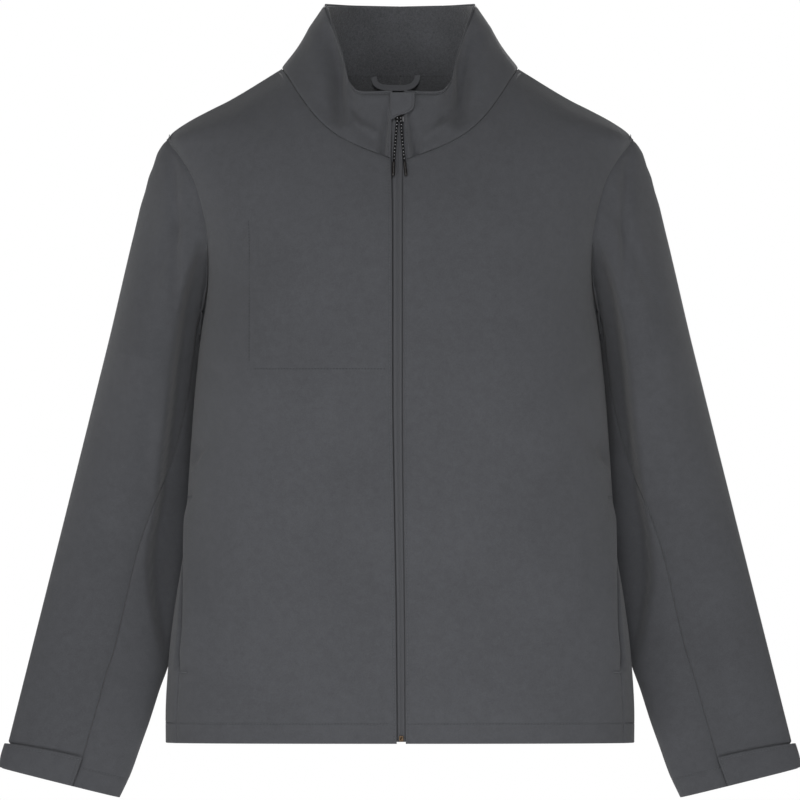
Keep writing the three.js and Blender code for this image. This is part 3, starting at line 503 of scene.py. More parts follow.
# A thin shell of cloth on a grid of points, with rolled edges, seam dips and stitched grooves.
def clothPiece(name, slotName, material, grid, normals, node=None, thickness=cloth,
               seams=(), grooves=(), lined=True, known=None, seamDip=edgeLook["seamDip"]):
    along = np.linalg.norm(np.diff(grid, axis=1), axis=2)
    upward = np.linalg.norm(np.diff(grid, axis=0), axis=2)
    u = np.concatenate([np.zeros((len(grid), 1)), np.cumsum(along, axis=1)], axis=1)
    v = np.concatenate([np.zeros((1, grid.shape[1])), np.cumsum(upward, axis=0)], axis=0)
    away = {"start": u, "end": u[:, -1:] - u, "bottom": v, "top": v[-1:] - v}
    away.update(known or {})
    roll = np.zeros_like(u)
    for edge in ("start", "end", "bottom", "top"):
        radius = edgeLook["seamRadius"] if edge in seams else thickness / 2
        s = np.clip(1 - away[edge] / radius, 0, 1)
        roll = np.maximum(roll, radius * (1 - np.sqrt(1 - s ** 2)) * edgeLook["rollShare"])
    dip = roll.copy()
    for edge in seams:
        dip += seamDip * np.exp(-away[edge] / edgeLook["seamReach"]) * (roll < thickness * 0.45)
    for edge, distance, depth, halfWidth in grooves:
        dip += depth * np.exp(-((away[edge] - distance) / halfWidth) ** 2)
    outer = grid - normals * dip[..., None]
    inner = grid - normals * np.maximum(thickness - roll, dip + edgeLook["thinnest"])[..., None]
    rows, columns = u.shape
    number = np.arange(rows * columns).reshape(rows, columns)
    under = number + rows * columns
    a, b, c, d = number[:-1, :-1], number[:-1, 1:], number[1:, 1:], number[1:, :-1]
    faces = [np.stack([a, b, c, d], -1).reshape(-1, 4)]
    a, b, c, d = under[:-1, :-1], under[:-1, 1:], under[1:, 1:], under[1:, :-1]
    faces.append(np.stack([a, d, c, b], -1).reshape(-1, 4))
    for line, below, turned in ((number[0], under[0], 0), (number[-1], under[-1], 1),
                                (number[:, 0], under[:, 0], 1), (number[:, -1], under[:, -1], 0)):
        rim = np.stack([line[:-1], below[:-1], below[1:], line[1:]], -1)
        faces.append(rim[:, ::-1] if turned else rim)
    faces = np.concatenate(faces)
    points = np.concatenate([outer.reshape(-1, 3), inner.reshape(-1, 3)])
    if signedVolume(points, faces) < 0:
        faces = faces[:, ::-1]
    uv = np.stack([u, v], -1).reshape(-1, 2)
    inside = np.zeros(len(faces), int)
    if lined:
        inside[(rows - 1) * (columns - 1):2 * (rows - 1) * (columns - 1)] = 1
    piece = newMesh(name, points, faces, material, np.concatenate([uv, uv]), inside)
    if node:
        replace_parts(piece, node)


def mirror(points, side):
    return points * np.array([side, 1, 1])


# Materials

def newMaterial(name):
    material = bpy.data.materials.new(name)
    material.use_nodes = True
    return material, material.node_tree, material.node_tree.nodes["Principled BSDF"]


def link(tree, source, target):
    tree.links.new(source, target)


def add(tree, kind, **values):
    node = tree.nodes.new(kind)
    for key, value in values.items():
        if key in node.inputs:
            node.inputs[key].default_value = value
        else:
            setattr(node, key, value)
    return node


def noise(tree, coordinates, scale, detail=3.0, roughness=0.55):
    node = add(tree, "ShaderNodeTexNoise", Scale=scale, Detail=detail, Roughness=roughness)
    link(tree, coordinates, node.inputs["Vector"])
    return node.outputs["Fac"]


def maths(tree, operation, a, b):
    node = add(tree, "ShaderNodeMath", operation=operation)
    for socket, value in zip(node.inputs, (a, b)):
        if isinstance(value, (int, float)):
            socket.default_value = value
        else:
            link(tree, value, socket)
    return node.outputs[0]


def setRange(node, fromLow, fromHigh, toLow, toHigh):
    values = {"From Min": fromLow, "From Max": fromHigh, "To Min": toLow, "To Max": toHigh}
    for socket, value in values.items():
        node.inputs[socket].default_value = value


# Cloth: a plain weave too fine to see from a step away, with a faint mottle and a soft sheen.
clothLook = {"grainScale": 900.0, "broadShare": 0.25, "mottleShare": 0.35, "grainShare": 0.4, "specular": 0.25,
             "sheenRoughness": 0.6}
shellLook = {"color": (0.0485, 0.0502, 0.0556), "darker": 0.86, "lighter": 1.13, "evenness": 0.38,
             "mottleScale": 120.0, "broadScale": 9.0, "roughness": 0.86, "sheen": 0.12,
             "threadsPerMetre": 1500, "weaveHeight": 0.00006, "grainHeight": 0.00016}
fleeceLook = {"color": (0.056, 0.058, 0.0635), "darker": 0.66, "lighter": 1.38, "evenness": 0.4,
              "mottleScale": 420.0, "broadScale": 14.0, "roughness": 0.97, "sheen": 0.3,
              "pileScale": 420.0, "pileHeight": 0.0009}


def clothMaterial(name, look, fleece=False):
    material, tree, shader = newMaterial(name)
    place = add(tree, "ShaderNodeTexCoord")
    ground, cloth2d = place.outputs["Object"], place.outputs["UV"]
    broad = noise(tree, ground, look["broadScale"], 2.0)
    mottle = noise(tree, ground, look["mottleScale"], 4.0, 0.7)
    grain = noise(tree, ground, clothLook["grainScale"], 2.0, 0.6)
    tone = maths(tree, "ADD", maths(tree, "MULTIPLY", broad, clothLook["broadShare"]),
                 maths(tree, "MULTIPLY", mottle, clothLook["mottleShare"]))
    tone = maths(tree, "ADD", tone, maths(tree, "MULTIPLY", grain, clothLook["grainShare"]))
    ramp = add(tree, "ShaderNodeMapRange")
    link(tree, tone, ramp.inputs["Value"])
    setRange(ramp, look["evenness"], 1 - look["evenness"], look["darker"], look["lighter"])
    tint = add(tree, "ShaderNodeVectorMath", operation="SCALE")
    tint.inputs[0].default_value = look["color"]
    link(tree, ramp.outputs["Result"], tint.inputs["Scale"])
    link(tree, tint.outputs[0], shader.inputs["Base Color"])
    shader.inputs["Roughness"].default_value = look["roughness"]
    shader.inputs["Specular IOR Level"].default_value = clothLook["specular"]
    shader.inputs["Sheen Weight"].default_value = look["sheen"]
    shader.inputs["Sheen Roughness"].default_value = clothLook["sheenRoughness"]
    bump = add(tree, "ShaderNodeBump", Strength=1.0)
    if fleece:
        tufts = noise(tree, ground, look["pileScale"], 4.0, 0.75)
        pile = maths(tree, "ADD", tufts, maths(tree, "MULTIPLY", grain, 0.5))
        bump.inputs["Distance"].default_value = look["pileHeight"]
        link(tree, pile, bump.inputs["Height"])
    else:
        split = add(tree, "ShaderNodeSeparateXYZ")
        link(tree, cloth2d, split.inputs[0])
        rate = look["threadsPerMetre"] * math.pi
        warp = maths(tree, "SINE", maths(tree, "MULTIPLY", split.outputs[0], rate), 0.0)
        weft = maths(tree, "SINE", maths(tree, "MULTIPLY", split.outputs[1], rate), 0.0)
        weave = maths(tree, "MULTIPLY", maths(tree, "MULTIPLY", warp, weft), look["weaveHeight"])
        relief = maths(tree, "ADD", weave, maths(tree, "MULTIPLY", mottle, look["grainHeight"]))
        bump.inputs["Distance"].default_value = 1.0
        link(tree, relief, bump.inputs["Height"])
    link(tree, bump.outputs[0], shader.inputs["Normal"])
    return material


# One plain colour with a fine grain, for threads, tapes, plastic and metal.
roughnessSpread = 0.12


def plainMaterial(name, color, roughness, metallic=0.0, grainScale=1500.0, grain=0.0001, specular=0.3):
    material, tree, shader = newMaterial(name)
    place = add(tree, "ShaderNodeTexCoord")
    rough = noise(tree, place.outputs["Object"], grainScale, 3.0)
    worn = add(tree, "ShaderNodeMapRange")
    link(tree, rough, worn.inputs["Value"])
    setRange(worn, 0, 1, roughness - roughnessSpread, roughness + roughnessSpread)
    shader.inputs["Base Color"].default_value = (*color, 1)
    shader.inputs["Metallic"].default_value = metallic
    shader.inputs["Specular IOR Level"].default_value = specular
    link(tree, worn.outputs["Result"], shader.inputs["Roughness"])
    bump = add(tree, "ShaderNodeBump", Strength=0.6, Distance=grain)
    link(tree, rough, bump.inputs["Height"])
    link(tree, bump.outputs[0], shader.inputs["Normal"])
    return material


shell = clothMaterial("shell cloth", shellLook)
fleece = clothMaterial("fleece lining", fleeceLook, fleece=True)
thread = plainMaterial("sewing thread", (0.075, 0.077, 0.083), 0.7)
darkThread = plainMaterial("dark sewing thread", (0.022, 0.023, 0.026), 0.8)
zipPlastic = plainMaterial("zip plastic", (0.005, 0.005, 0.005), 0.5, specular=0.12)
zipMetal = plainMaterial("bright zip metal", (0.1, 0.1, 0.104), 0.6)
loopCloth = plainMaterial("loop tape", (0.098, 0.1, 0.108), 0.9, grainScale=1800.0, grain=0.0003)
tapeCloth = plainMaterial("zip tape", (0.055, 0.0565, 0.0615), 0.85, grainScale=2500.0, grain=0.0003)


# Braid: black yarns with a row of slightly lighter ones. The pattern goes once round in wrapWidth mm.
braidLook = {"dark": (0.004, 0.004, 0.0045), "fleck": (0.012, 0.012, 0.013), "fleckPitch": 0.00245,
             "fleckShare": 0.3, "fleckPlace": 0.76, "fleckWidth": 0.09, "wrapWidth": 8}


def braidMaterial():
    material, tree, shader = newMaterial("braided cord")
    place = add(tree, "ShaderNodeTexCoord")
    split = add(tree, "ShaderNodeSeparateXYZ")
    link(tree, place.outputs["UV"], split.inputs[0])
    along = maths(tree, "DIVIDE", split.outputs[1], braidLook["fleckPitch"])
    wrap = maths(tree, "DIVIDE", split.outputs[0], braidLook["wrapWidth"] * mm)
    climb = maths(tree, "ADD", along, wrap)
    yarn = maths(tree, "LESS_THAN", maths(tree, "FRACT", climb, 0.0), braidLook["fleckShare"])
    aside = maths(tree, "SUBTRACT", wrap, braidLook["fleckPlace"])
    near = maths(tree, "LESS_THAN", maths(tree, "ABSOLUTE", aside, 0.0), braidLook["fleckWidth"])
    yarn = maths(tree, "MULTIPLY", yarn, near)
    blendOf = add(tree, "ShaderNodeMix", data_type="RGBA")
    link(tree, yarn, blendOf.inputs["Factor"])
    blendOf.inputs[6].default_value = (*braidLook["dark"], 1)
    blendOf.inputs[7].default_value = (*braidLook["fleck"], 1)
    link(tree, blendOf.outputs[2], shader.inputs["Base Color"])
    shader.inputs["Roughness"].default_value = 0.8
    shader.inputs["Specular IOR Level"].default_value = 0.08
    fibre = add(tree, "ShaderNodeBump", Strength=0.5, Distance=0.0002)
    link(tree, noise(tree, place.outputs["Object"], 2200.0, 3.0), fibre.inputs["Height"])
    link(tree, fibre.outputs[0], shader.inputs["Normal"])
    return material


braid = braidMaterial()
fleckYarn = plainMaterial("pale fleck yarn", (0.3, 0.3, 0.31), 0.8, grainScale=2200.0, grain=0.0002)
tipPlastic = plainMaterial("cord tip", (0.0065, 0.005, 0.0045), 0.28, specular=0.3)
brass = plainMaterial("aged brass", (0.16, 0.11, 0.07), 0.5, metallic=0.9)
print("materials ready")


# Camera, lights and backdrop

studioLook = {"distance": 20.0, "lens": 882.4, "height": -0.3386, "farthest": 100, "keyLight": 134,
              "sideLight": 29, "nearLight": 3.1, "backLight": 75, "sky": 0.055, "horizon": 1.0,
              "floorZ": -0.95, "floorReach": 4, "floorGlow": 0.4}

camera = bpy.data.objects.new("camera", bpy.data.cameras.new("camera"))
camera.location = (0, -studioLook["distance"], studioLook["height"])
camera.rotation_euler = (math.pi / 2, 0, 0)
camera.data.lens = studioLook["lens"]
camera.data.clip_end = studioLook["farthest"]
bpy.context.collection.objects.link(camera)
bpy.context.scene.camera = camera


def areaLight(name, place, target, size, power):
    light = bpy.data.lights.new(name, "AREA")
    light.shape, light.size, light.energy = "DISK", size, power
    lamp = bpy.data.objects.new(name, light)
    lamp.location = place
    direction = np.subtract(target, place)
    lamp.rotation_euler = (math.acos(-direction[2] / np.linalg.norm(direction)), 0,
                           math.atan2(direction[0], -direction[1]) + math.pi)
    bpy.context.collection.objects.link(lamp)


areaLight("key light", (-0.15, -5.0, 2.45), (0, 0, -0.3), 2.4, studioLook["keyLight"])
areaLight("side light", (-3.5, -4.0, 0.3), (0, 0, -0.4), 1.0, studioLook["sideLight"])
areaLight("near light", (0, -0.85, -0.85), (0, 0, -0.75), 0.6, studioLook["nearLight"])
areaLight("back light", (0.7, 4.7, 1.5), (0, 0, -0.4), 1.2, studioLook["backLight"])
world = bpy.data.worlds.new("studio")
world.use_nodes = True
world.node_tree.nodes["Background"].inputs["Color"].default_value = (1, 1, 1, 1)
sky = world.node_tree                     # white up to the horizon, greyer above it
heading = add(sky, "ShaderNodeTexCoord")
height = add(sky, "ShaderNodeSeparateXYZ")
link(sky, heading.outputs["Generated"], height.inputs[0])
rise = add(sky, "ShaderNodeMapRange", interpolation_type="SMOOTHSTEP")
link(sky, height.outputs[2], rise.inputs["Value"])
setRange(rise, 0.03, 0.5, studioLook["horizon"], studioLook["sky"])
link(sky, rise.outputs["Result"], sky.nodes["Background"].inputs["Strength"])
bpy.context.scene.world = world
bpy.context.scene.view_settings.view_transform = "Standard"
floorMesh = bpy.data.meshes.new("studio_floor")
floorMesh.from_pydata([(x * studioLook["floorReach"], y * studioLook["floorReach"], studioLook["floorZ"])
                       for x, y in ((-1, -1), (1, -1), (1, 1), (-1, 1))], [], [(0, 1, 2, 3)])
studioFloor = bpy.data.objects.new("studio_floor", floorMesh)
bpy.context.collection.objects.link(studioFloor)
paleFloor = plainMaterial("pale floor", (0.8, 0.8, 0.8), 0.8, grainScale=40.0)
paleFloor.node_tree.nodes["Principled BSDF"].inputs["Emission Color"].default_value = (1, 1, 1, 1)
paleFloor.node_tree.nodes["Principled BSDF"].inputs["Emission Strength"].default_value = studioLook["floorGlow"]
floorMesh.materials.append(paleFloor)
print("camera and lights ready")


# Stitches: short capsules that lie along a line on the cloth

stitchLook = {"length": 2.5, "pitch": 3.3, "radius": 0.27, "sunk": 0.05, "corners": 6}


# The line at a given distance from one edge of a piece's surface.
def inset(surface, edge, distance):
    grid, normals = surface
    if edge in ("start", "end"):
        grid, normals = grid.transpose(1, 0, 2), normals.transpose(1, 0, 2)
    if edge in ("top", "end"):
        grid, normals = grid[::-1], normals[::-1]
    away = np.linalg.norm(np.diff(grid, axis=0), axis=2).cumsum(axis=0)
    k = np.minimum((away < distance).sum(axis=0), len(away) - 1)
    column = np.arange(grid.shape[1])
    before = np.where(k > 0, away[np.maximum(k - 1, 0), column], 0)
    share = np.clip((distance - before) / (away[k, column] - before), 0, 1)[:, None]
    points = mix(grid[k, column], grid[k + 1, column], share)
    return points, unit(mix(normals[k, column], normals[k + 1, column], share))


def stitchSpots(line, start=2.5, stop=2.5, pitch=None, lift=0.0):
    points, normals = line
    length = lengthsAlong(points)
    at = np.arange(start, length[-1] - stop, pitch or stitchLook["pitch"])
    half = stitchLook["length"] / 2
    def along(place):
        return np.stack([np.interp(place, length, points[:, k]) for k in range(3)], -1)
    normal = unit(np.stack([np.interp(at, length, normals[:, k]) for k in range(3)], -1))
    middle = along(at) + normal * (lift - stitchLook["sunk"])
    return middle, unit(along(at + half) - along(at - half)), normal


def stitches(name, runs, length=None, radius=None, material=thread):
    middle, way, normal = (np.concatenate([run[k] for run in runs]) for k in range(3))
    length, radius = length or stitchLook["length"], radius or stitchLook["radius"]
    across = unit(np.cross(way, normal))
    corners = stitchLook["corners"]
    turn = np.arange(corners) * 2 * math.pi / corners
    rings = ((-0.5, 0.4), (-0.38, 1), (0.38, 1), (0.5, 0.4))     # place along it and share of its radius
    points = []
    for share, size in rings:
        for angle in turn:
            points.append(middle + way * (share * length) + (across * math.cos(angle)
                          + normal * math.sin(angle)) * (radius * size))
    points = np.stack(points, 1)
    count, each = len(middle), corners * len(rings)
    faces = ringFaces(len(rings), corners)
    quads = (faces[None] + (np.arange(count) * each)[:, None, None]).reshape(-1, 4).tolist()
    ends = []
    for base in range(0, count * each, each):
        ends.append([base + k for k in reversed(range(corners))])
        ends.append([base + each - corners + k for k in range(corners)])
    return newMesh(name, points.reshape(-1, 3), quads + ends, material)


def lineOn(face, side, places):
    p = np.array([(abs(x), float(faceY(face, abs(x), z)), z) for x, z in places])
    n = bodyNormal(p)
    p = p - n * creaseDepth(frontCreases if face < 0 else backCreases, p[:, 0], p[:, 2])[:, None]
    return mirror(p, side), mirror(n, side)


def straight(start, end, step=4.0):
    count = max(2, int(math.dist(start, end) / step))
    return [tuple(mix(np.array(start, float), np.array(end, float), k / count)) for k in range(count + 1)]


# Puller cords: two braided strands from the slider, each with a smooth tip

zipLook = {"tapeHalf": 13, "plainHalf": 4.75, "collarShare": 0.45, "edgeDrop": 2.0,
           "sliderZ": -51.0, "sliderDepth": 2.6, "sliderAhead": 0.3, "cordAhead": 0.6}
cordLook = {"radius": 1.3, "tipRadius": 1.55, "sides": 24, "step": 0.35, "plaitPitch": 4.2, "plaitDepth": 0.14,
            "fleckPitch": 3.4, "fleckLength": 1.1, "fleckRadius": 0.42, "fleckSunk": 0.2,
            "fleckSlant": (0.94, 0, 0.34)}
neckFrontZ = -93.5
neckFrontY = float(faceY(-1, 8, neckFrontZ))
collarFront = collarTop[0]
collarLean = math.atan2(collarFront[1] - neckFrontY, collarFront[2] - neckFrontZ)


def zipFace(z):
    low = -read(bodySections, "front", z)
    high = mix(neckFrontY, collarFront[1], (z - neckFrontZ) / (collarFront[2] - neckFrontZ))
    return np.where(z < neckFrontZ, low, high) + tapeDrop


def tube(path, radius, sides, relief=0.0, pitch=1.0):
    path = np.asarray(path, float)
    along = lengthsAlong(path)
    tangent = unit(np.gradient(path, along, axis=0))
    across = unit(np.cross(tangent, [0.0, 1.0, 0.0]))
    ahead = np.cross(across, tangent)
    turn = np.arange(sides) * 2 * math.pi / sides
    wave = 4 * turn[None, :]
    climb = (along * 2 * math.pi / pitch)[:, None]
    plait = np.maximum(np.abs(np.sin((wave + climb) / 2)), np.abs(np.sin((wave - climb) / 2)))
    r = np.broadcast_to(np.asarray(radius, float).reshape(-1, 1), plait.shape) - relief * (1 - plait) / 0.3
    points = path[:, None] + r[..., None] * (across[:, None] * np.cos(turn)[None, :, None]
                                             + ahead[:, None] * np.sin(turn)[None, :, None])
    ends = [list(range(sides))[::-1], list(range((len(path) - 1) * sides, len(path) * sides))]
    faces = ends + ringFaces(len(path), sides).tolist()
    wrap = turn / (2 * math.pi) * braidLook["wrapWidth"]
    uv = np.stack(np.broadcast_arrays(wrap[None, :], along[:, None]), -1).reshape(-1, 2)
    return points.reshape(-1, 3), faces, uv


def pullerStrand(word, route, tipEnd):
    line = table("at x", *[(z, x) for x, z in route])
    count = int((route[0][1] - route[-1][1]) / cordLook["step"])
    z = np.linspace(route[0][1], route[-1][1], count)
    ahead = zipLook["cordAhead"] + zipLook["sliderDepth"] + cordLook["radius"]
    path = stack(read(line, "x", z), zipFace(z) - ahead, z)
    points, faces, uv = tube(path, np.full(count, cordLook["radius"]), cordLook["sides"],
                             cordLook["plaitDepth"], cordLook["plaitPitch"])
    cord = newMesh("puller_strand_" + word, points, faces, braid, uv)
    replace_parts(cord, "puller_cord_" + word)
    start = path[-1]
    end = np.array([tipEnd[0], float(zipFace(tipEnd[1])) - ahead, tipEnd[1]])
    share = np.concatenate([[0, 0.015, 0.05], np.linspace(0.1, 0.88, 14), [0.93, 0.965, 0.988, 1.0]])
    radius = cordLook["tipRadius"] * np.concatenate([[0.8, 0.95, 1.0], np.ones(14), [0.97, 0.86, 0.6, 0.12]])
    radius[5:14] *= 1 - 0.05 * np.sin(np.linspace(0, 3 * math.pi, 9)) ** 2
    tipPath = start + (end - start) * (0.02 + 0.98 * share[:, None])
    points, faces, uv = tube(tipPath, radius, 20)
    tip = newMesh("puller_end_" + word, points, faces, tipPlastic, uv)
    at = np.arange(2, len(path) - 3, cordLook["fleckPitch"] / cordLook["step"]).astype(int)
    ahead = np.tile([0.0, -1.0, 0.0], (len(at), 1))
    fleckPath = path[at] + ahead * (cordLook["radius"] - cordLook["fleckSunk"])
    slant = np.tile(cordLook["fleckSlant"], (len(at), 1))
    flecks = stitches("puller_flecks_" + word, [(fleckPath, slant, ahead)],
                      cordLook["fleckLength"], cordLook["fleckRadius"])
    flecks.data.materials[0] = fleckYarn
    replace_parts(tip, "puller_tip_" + word)
    length = float(lengthsAlong(path)[-1])
    print("cord", word, round(length, 1), "mm")


pullerStrand("right", ((-2.5, -51.5), (-4.2, -70), (-5.6, -88), (-6.2, -96.5)), (-6.9, -111.5))
pullerStrand("left", ((0.8, -51.5), (2.0, -70), (3.7, -88), (4.6, -96.5)), (6.2, -111.5))


# Body

panelLook = {"frontWidth": 252, "backHalf": 330, "step": 4.5, "hemStitch": 20.4, "zipStitch": 2.3}


def panelSamples(width):
    edge = panelLook["zipStitch"]
    u = places(width, panelLook["step"], rollPlaces(width) + [(edge, 1.6, 0.4), (width - edge, 1.6, 0.4)])
    levels = [0, 0.003, 0.009, 0.016, 0.026, 0.045, 0.09, 0.2, 0.3, 0.4, 0.48]
    levels += list(np.linspace(0.51, 0.63, 10)) + [0.7, 0.8, 0.9]
    levels += list(np.arange(1, lastRow - 1, 0.1)) + list(np.linspace(lastRow - 1, lastRow - 0.1, 10))
    levels += [lastRow - 0.06, lastRow - 0.035, lastRow - 0.02, lastRow - 0.01, lastRow]
    return u, np.array(levels)


surfaces = {}
sides = (("right", -1), ("left", 1))
hemGroove = ("bottom", panelLook["hemStitch"], 0.45, 0.9)
zipGroove = ("start", panelLook["zipStitch"], 0.3, 0.7)


# A cloth piece on the solid of its name. Its surface is kept, because the stitches lie on it.
def sewnPiece(name, slotName, material, p, normal, side=1, node=None, **options):
    surfaces[name] = mirror(p, side), mirror(normal, side)
    clothPiece(name, slotName, material, *surfaces[name], node or name, **options)


def frontPanel(word, side):
    u, v = panelSamples(panelLook["frontWidth"])
    p, normal = shapedPanel(-1, side, u, v)
    sewnPiece("front_" + word, "shell", shell, p, normal, side, seams=("end", "top"),
              grooves=(hemGroove, zipGroove))


def backPanel():
    u, v = panelSamples(panelLook["backHalf"])
    half, normal = shapedPanel(1, 1, u, v)
    p = np.concatenate([mirror(half, -1)[:, ::-1], half[:, 1:]], axis=1)
    n = np.concatenate([mirror(normal, -1)[:, ::-1], normal[:, 1:]], axis=1)
    keep = np.concatenate([u[:0:-1] > 0.012, [True], u[1:] > 0.012])
    sewnPiece("back", "shell", shell, p[:, keep], n[:, keep], seams=("start", "end", "top"),
              grooves=(hemGroove,))


for word, side in sides:
    frontPanel(word, side)
backPanel()
print("body ready")


# Pocket facings behind the fronts' outer edges

facingDepth = 1.2


def pocketFacing(word, side):
    z = np.linspace(pocketBottomZ + 17, pocketTopZ - 32, 40)[:, None]
    turn = outerAngle(-1, z) + np.linspace(-5, -0.8, 9)[None]
    z = np.broadcast_to(z, turn.shape)
    p = bodyPoint(turn, z)
    normal = bodyNormal(p)
    sewnPiece("pocket_facing_" + word, "lining", fleece, p - normal * facingDepth, normal, side, lined=False)


for word, side in sides:
    pocketFacing(word, side)


# Sleeves: an upper piece round the outside and a narrow one under the arm

sleeveLook = {"upperWidth": 300, "underWidth": 160, "tubeLength": 441, "around": 4.6, "down": 3.8,
              "capSteps": 52, "hemStitch": 20.5, "tabTop": 28, "seamDip": 1.7}
tabLook = {"width": 190, "height": 26, "firstTurn": -66.4, "lastTurn": 101, "thickness": 1.6, "gap": 0.6,
           "loose": 1.6, "stitch": 3, "grooveUp": 0.4, "grooveDepth": 2.4, "grooveHalf": 1.5}
armSeams = (159.6, 218.6)                 # turns where the long seams leave the armhole
sleeveFolds = ((62, -95, -235, 9, 4.2), (96, -330, -430, 10, 3.4), (70, -455, -505, 12, 2.6),
               (285, -110, -250, 10, 4.0), (300, -400, -500, 12, 3.4),
               (146, -150, -600, 22, 2.5), (118, -190, -330, 12, 2.0))


# Hollow of the sleeve beside the body: how far out it starts, how deep it goes, and its share of that.
sleeveHollow = table("z start deep share", (-175, 206, 24, 0), (-206, 214, 24, 0.28), (-237, 222, 26, 0.46),
                     (-277, 228, 31, 0.56), (-318, 233, 37, 0.61), (-379, 240, 42, 0.65), (-441, 248, 42, 0.66),
                     (-481, 255, 41, 0.7), (-512, 257, 40, 0.74), (-543, 254, 38, 0.7), (-583, 247, 36, 0.52),
                     (-612, 241, 34, 0))
# Creases of the sleeve in the front view, as the body's.
sleeveCreases = ((231, -88, 229, -245, 5, 5.0), (252, -150, 262, -262, 9, 1.6), (318, -560, 336, -655, 12, 1.6),
                 (286, -330, 300, -430, 12, 1.6), (345, -600, 352, -668, 7, -1.0))


def sleeveSurface(turn, t):
    around = turn % 360
    p = sleevePoints(around, t)
    across = sleevePoints(around + 1.5, t) - sleevePoints(around - 1.5, t)
    down = sleevePoints(around, np.minimum(2, t + 0.01)) - sleevePoints(around, np.maximum(0.001, t - 0.01))
    normal = unit(np.cross(across, down))
    atSeam = np.maximum(0, 1 - t / 0.1) * smooth(-0.35, 0.25, np.cos(np.radians(around)))
    normal = unit(mix(normal, bodyNormal(armholePoint(around)), atSeam[..., None]))
    depth = np.zeros_like(turn)
    for angle, z0, z1, halfWidth, most in sleeveFolds:
        along = (p[..., 2] - z0) / (z1 - z0)
        taper = np.maximum(0, 1 - (2 * np.clip(along, -0.2, 1.2) - 1) ** 2 / 1.4)
        depth += most * taper * np.exp(-((around - angle) / halfWidth) ** 2)
    depth += creaseDepth(sleeveCreases, p[..., 0], p[..., 2]) * smooth(0.2, 0.6, -normal[..., 1])
    p = p - normal * (depth * smooth(0, 0.12, t))[..., None]
    inner = smooth(-2, 7, read(sleeveHollow, "start", p[..., 2]) - p[..., 0])
    share = read(sleeveHollow, "share", p[..., 2]) * inner * smooth(0, 0.012, t)
    p[..., 1] += share * np.maximum(0, read(sleeveHollow, "deep", p[..., 2]) - p[..., 1])
    return p, normal


def sleeveTurns(part, t, share):
    z = np.where(t <= 1, mix(shoulderZ, capEndZ, np.minimum(t, 1)), mix(capEndZ, cuffZ, np.maximum(t - 1, 0)))
    front, back = read(sleeveSeams, "frontAngle", z), read(sleeveSeams, "backAngle", z)
    even = smooth(0, 0.6, t)
    if part == "upper":
        return mix(mix(armSeams[1] - 360, armSeams[0], share), mix(back - 360, front, share), even)
    return mix(mix(*armSeams, share), mix(front, back, share), even)


sleeveGroove = ("top", sleeveLook["hemStitch"], 0.4, 0.9)


def sleevePiece(word, side, part):
    width, length = sleeveLook[part + "Width"], sleeveLook["tubeLength"]
    share = places(width, sleeveLook["around"], rollPlaces(width))
    cap = np.linspace(0, 1, sleeveLook["capSteps"])
    fine = [(length - sleeveLook["hemStitch"], 2, 0.5), (length - sleeveLook["tabTop"], 4.5, 0.7)]
    tubeShare = places(length, sleeveLook["down"], rollPlaces(length) + fine)
    t = np.concatenate([[0, 0.0005, 0.0015, 0.003, 0.005, 0.009], cap[1:], 1 + tubeShare[1:]])
    share, t = np.meshgrid(share, t)
    turn = sleeveTurns(part, t, share)
    p, normal = sleeveSurface(turn, t)
    if part == "upper":
        above = (2 - tabReach(turn) - t) * length
        sink = tabLook["grooveDepth"] * np.exp(-((above - tabLook["grooveUp"]) / tabLook["grooveHalf"]) ** 2)
        sink = sink * smooth(-62, -14, turn) * (1 - smooth(97, 103, turn))
        p = p - normal * sink[..., None]
    sewnPiece("sleeve_" + part + "_" + word, "shell", shell, p, normal, side, seams=("start", "end", "bottom"),
              grooves=(sleeveGroove,) if part == "under" else (), seamDip=sleeveLook["seamDip"])


# How far the tab reaches up from the cuff, as a share of the sleeve's tube.
def tabReach(turn):
    return mix(0.0575, 0.0695, smooth(-10, 100, turn))


def cuffTab(word, side):
    width, height, stitch = tabLook["width"], tabLook["height"], tabLook["stitch"]
    share = places(width, 3.2, rollPlaces(width) + [(stitch, 1.5, 0.5), (width - stitch, 1.5, 0.5)])
    up = places(height, 2, rollPlaces(height) + [(stitch, 1.5, 0.5)])
    turn, up = np.meshgrid(mix(tabLook["firstTurn"], tabLook["lastTurn"], share), up)
    t = np.minimum(1.999, 2 - tabReach(turn) * (1 - up))
    p, normal = sleeveSurface(turn, t)
    middle = np.sin(math.pi * up)
    loose = tabLook["loose"] * np.exp(-(turn / 32) ** 2) * (0.9 + 0.45 * middle)
    p = p + normal * (tabLook["gap"] + loose + tabLook["thickness"])[..., None]
    sewnPiece("cuff_tab_" + word, "shell", shell, p, normal, side, thickness=tabLook["thickness"],
              grooves=(("bottom", stitch, 0.22, 0.7), ("end", stitch, 0.22, 0.7)))


for word, side in sides:
    sleevePiece(word, side, "upper")
    sleevePiece(word, side, "under")
    cuffTab(word, side)
print("sleeves ready")


# Collar

collarLook = {"half": 250, "height": 85, "step": 3.2, "upStep": 2.8, "stitch": 3.1,
              "lineDepth": 2.1, "lineStart": 0.022, "lineTop": 0.985}


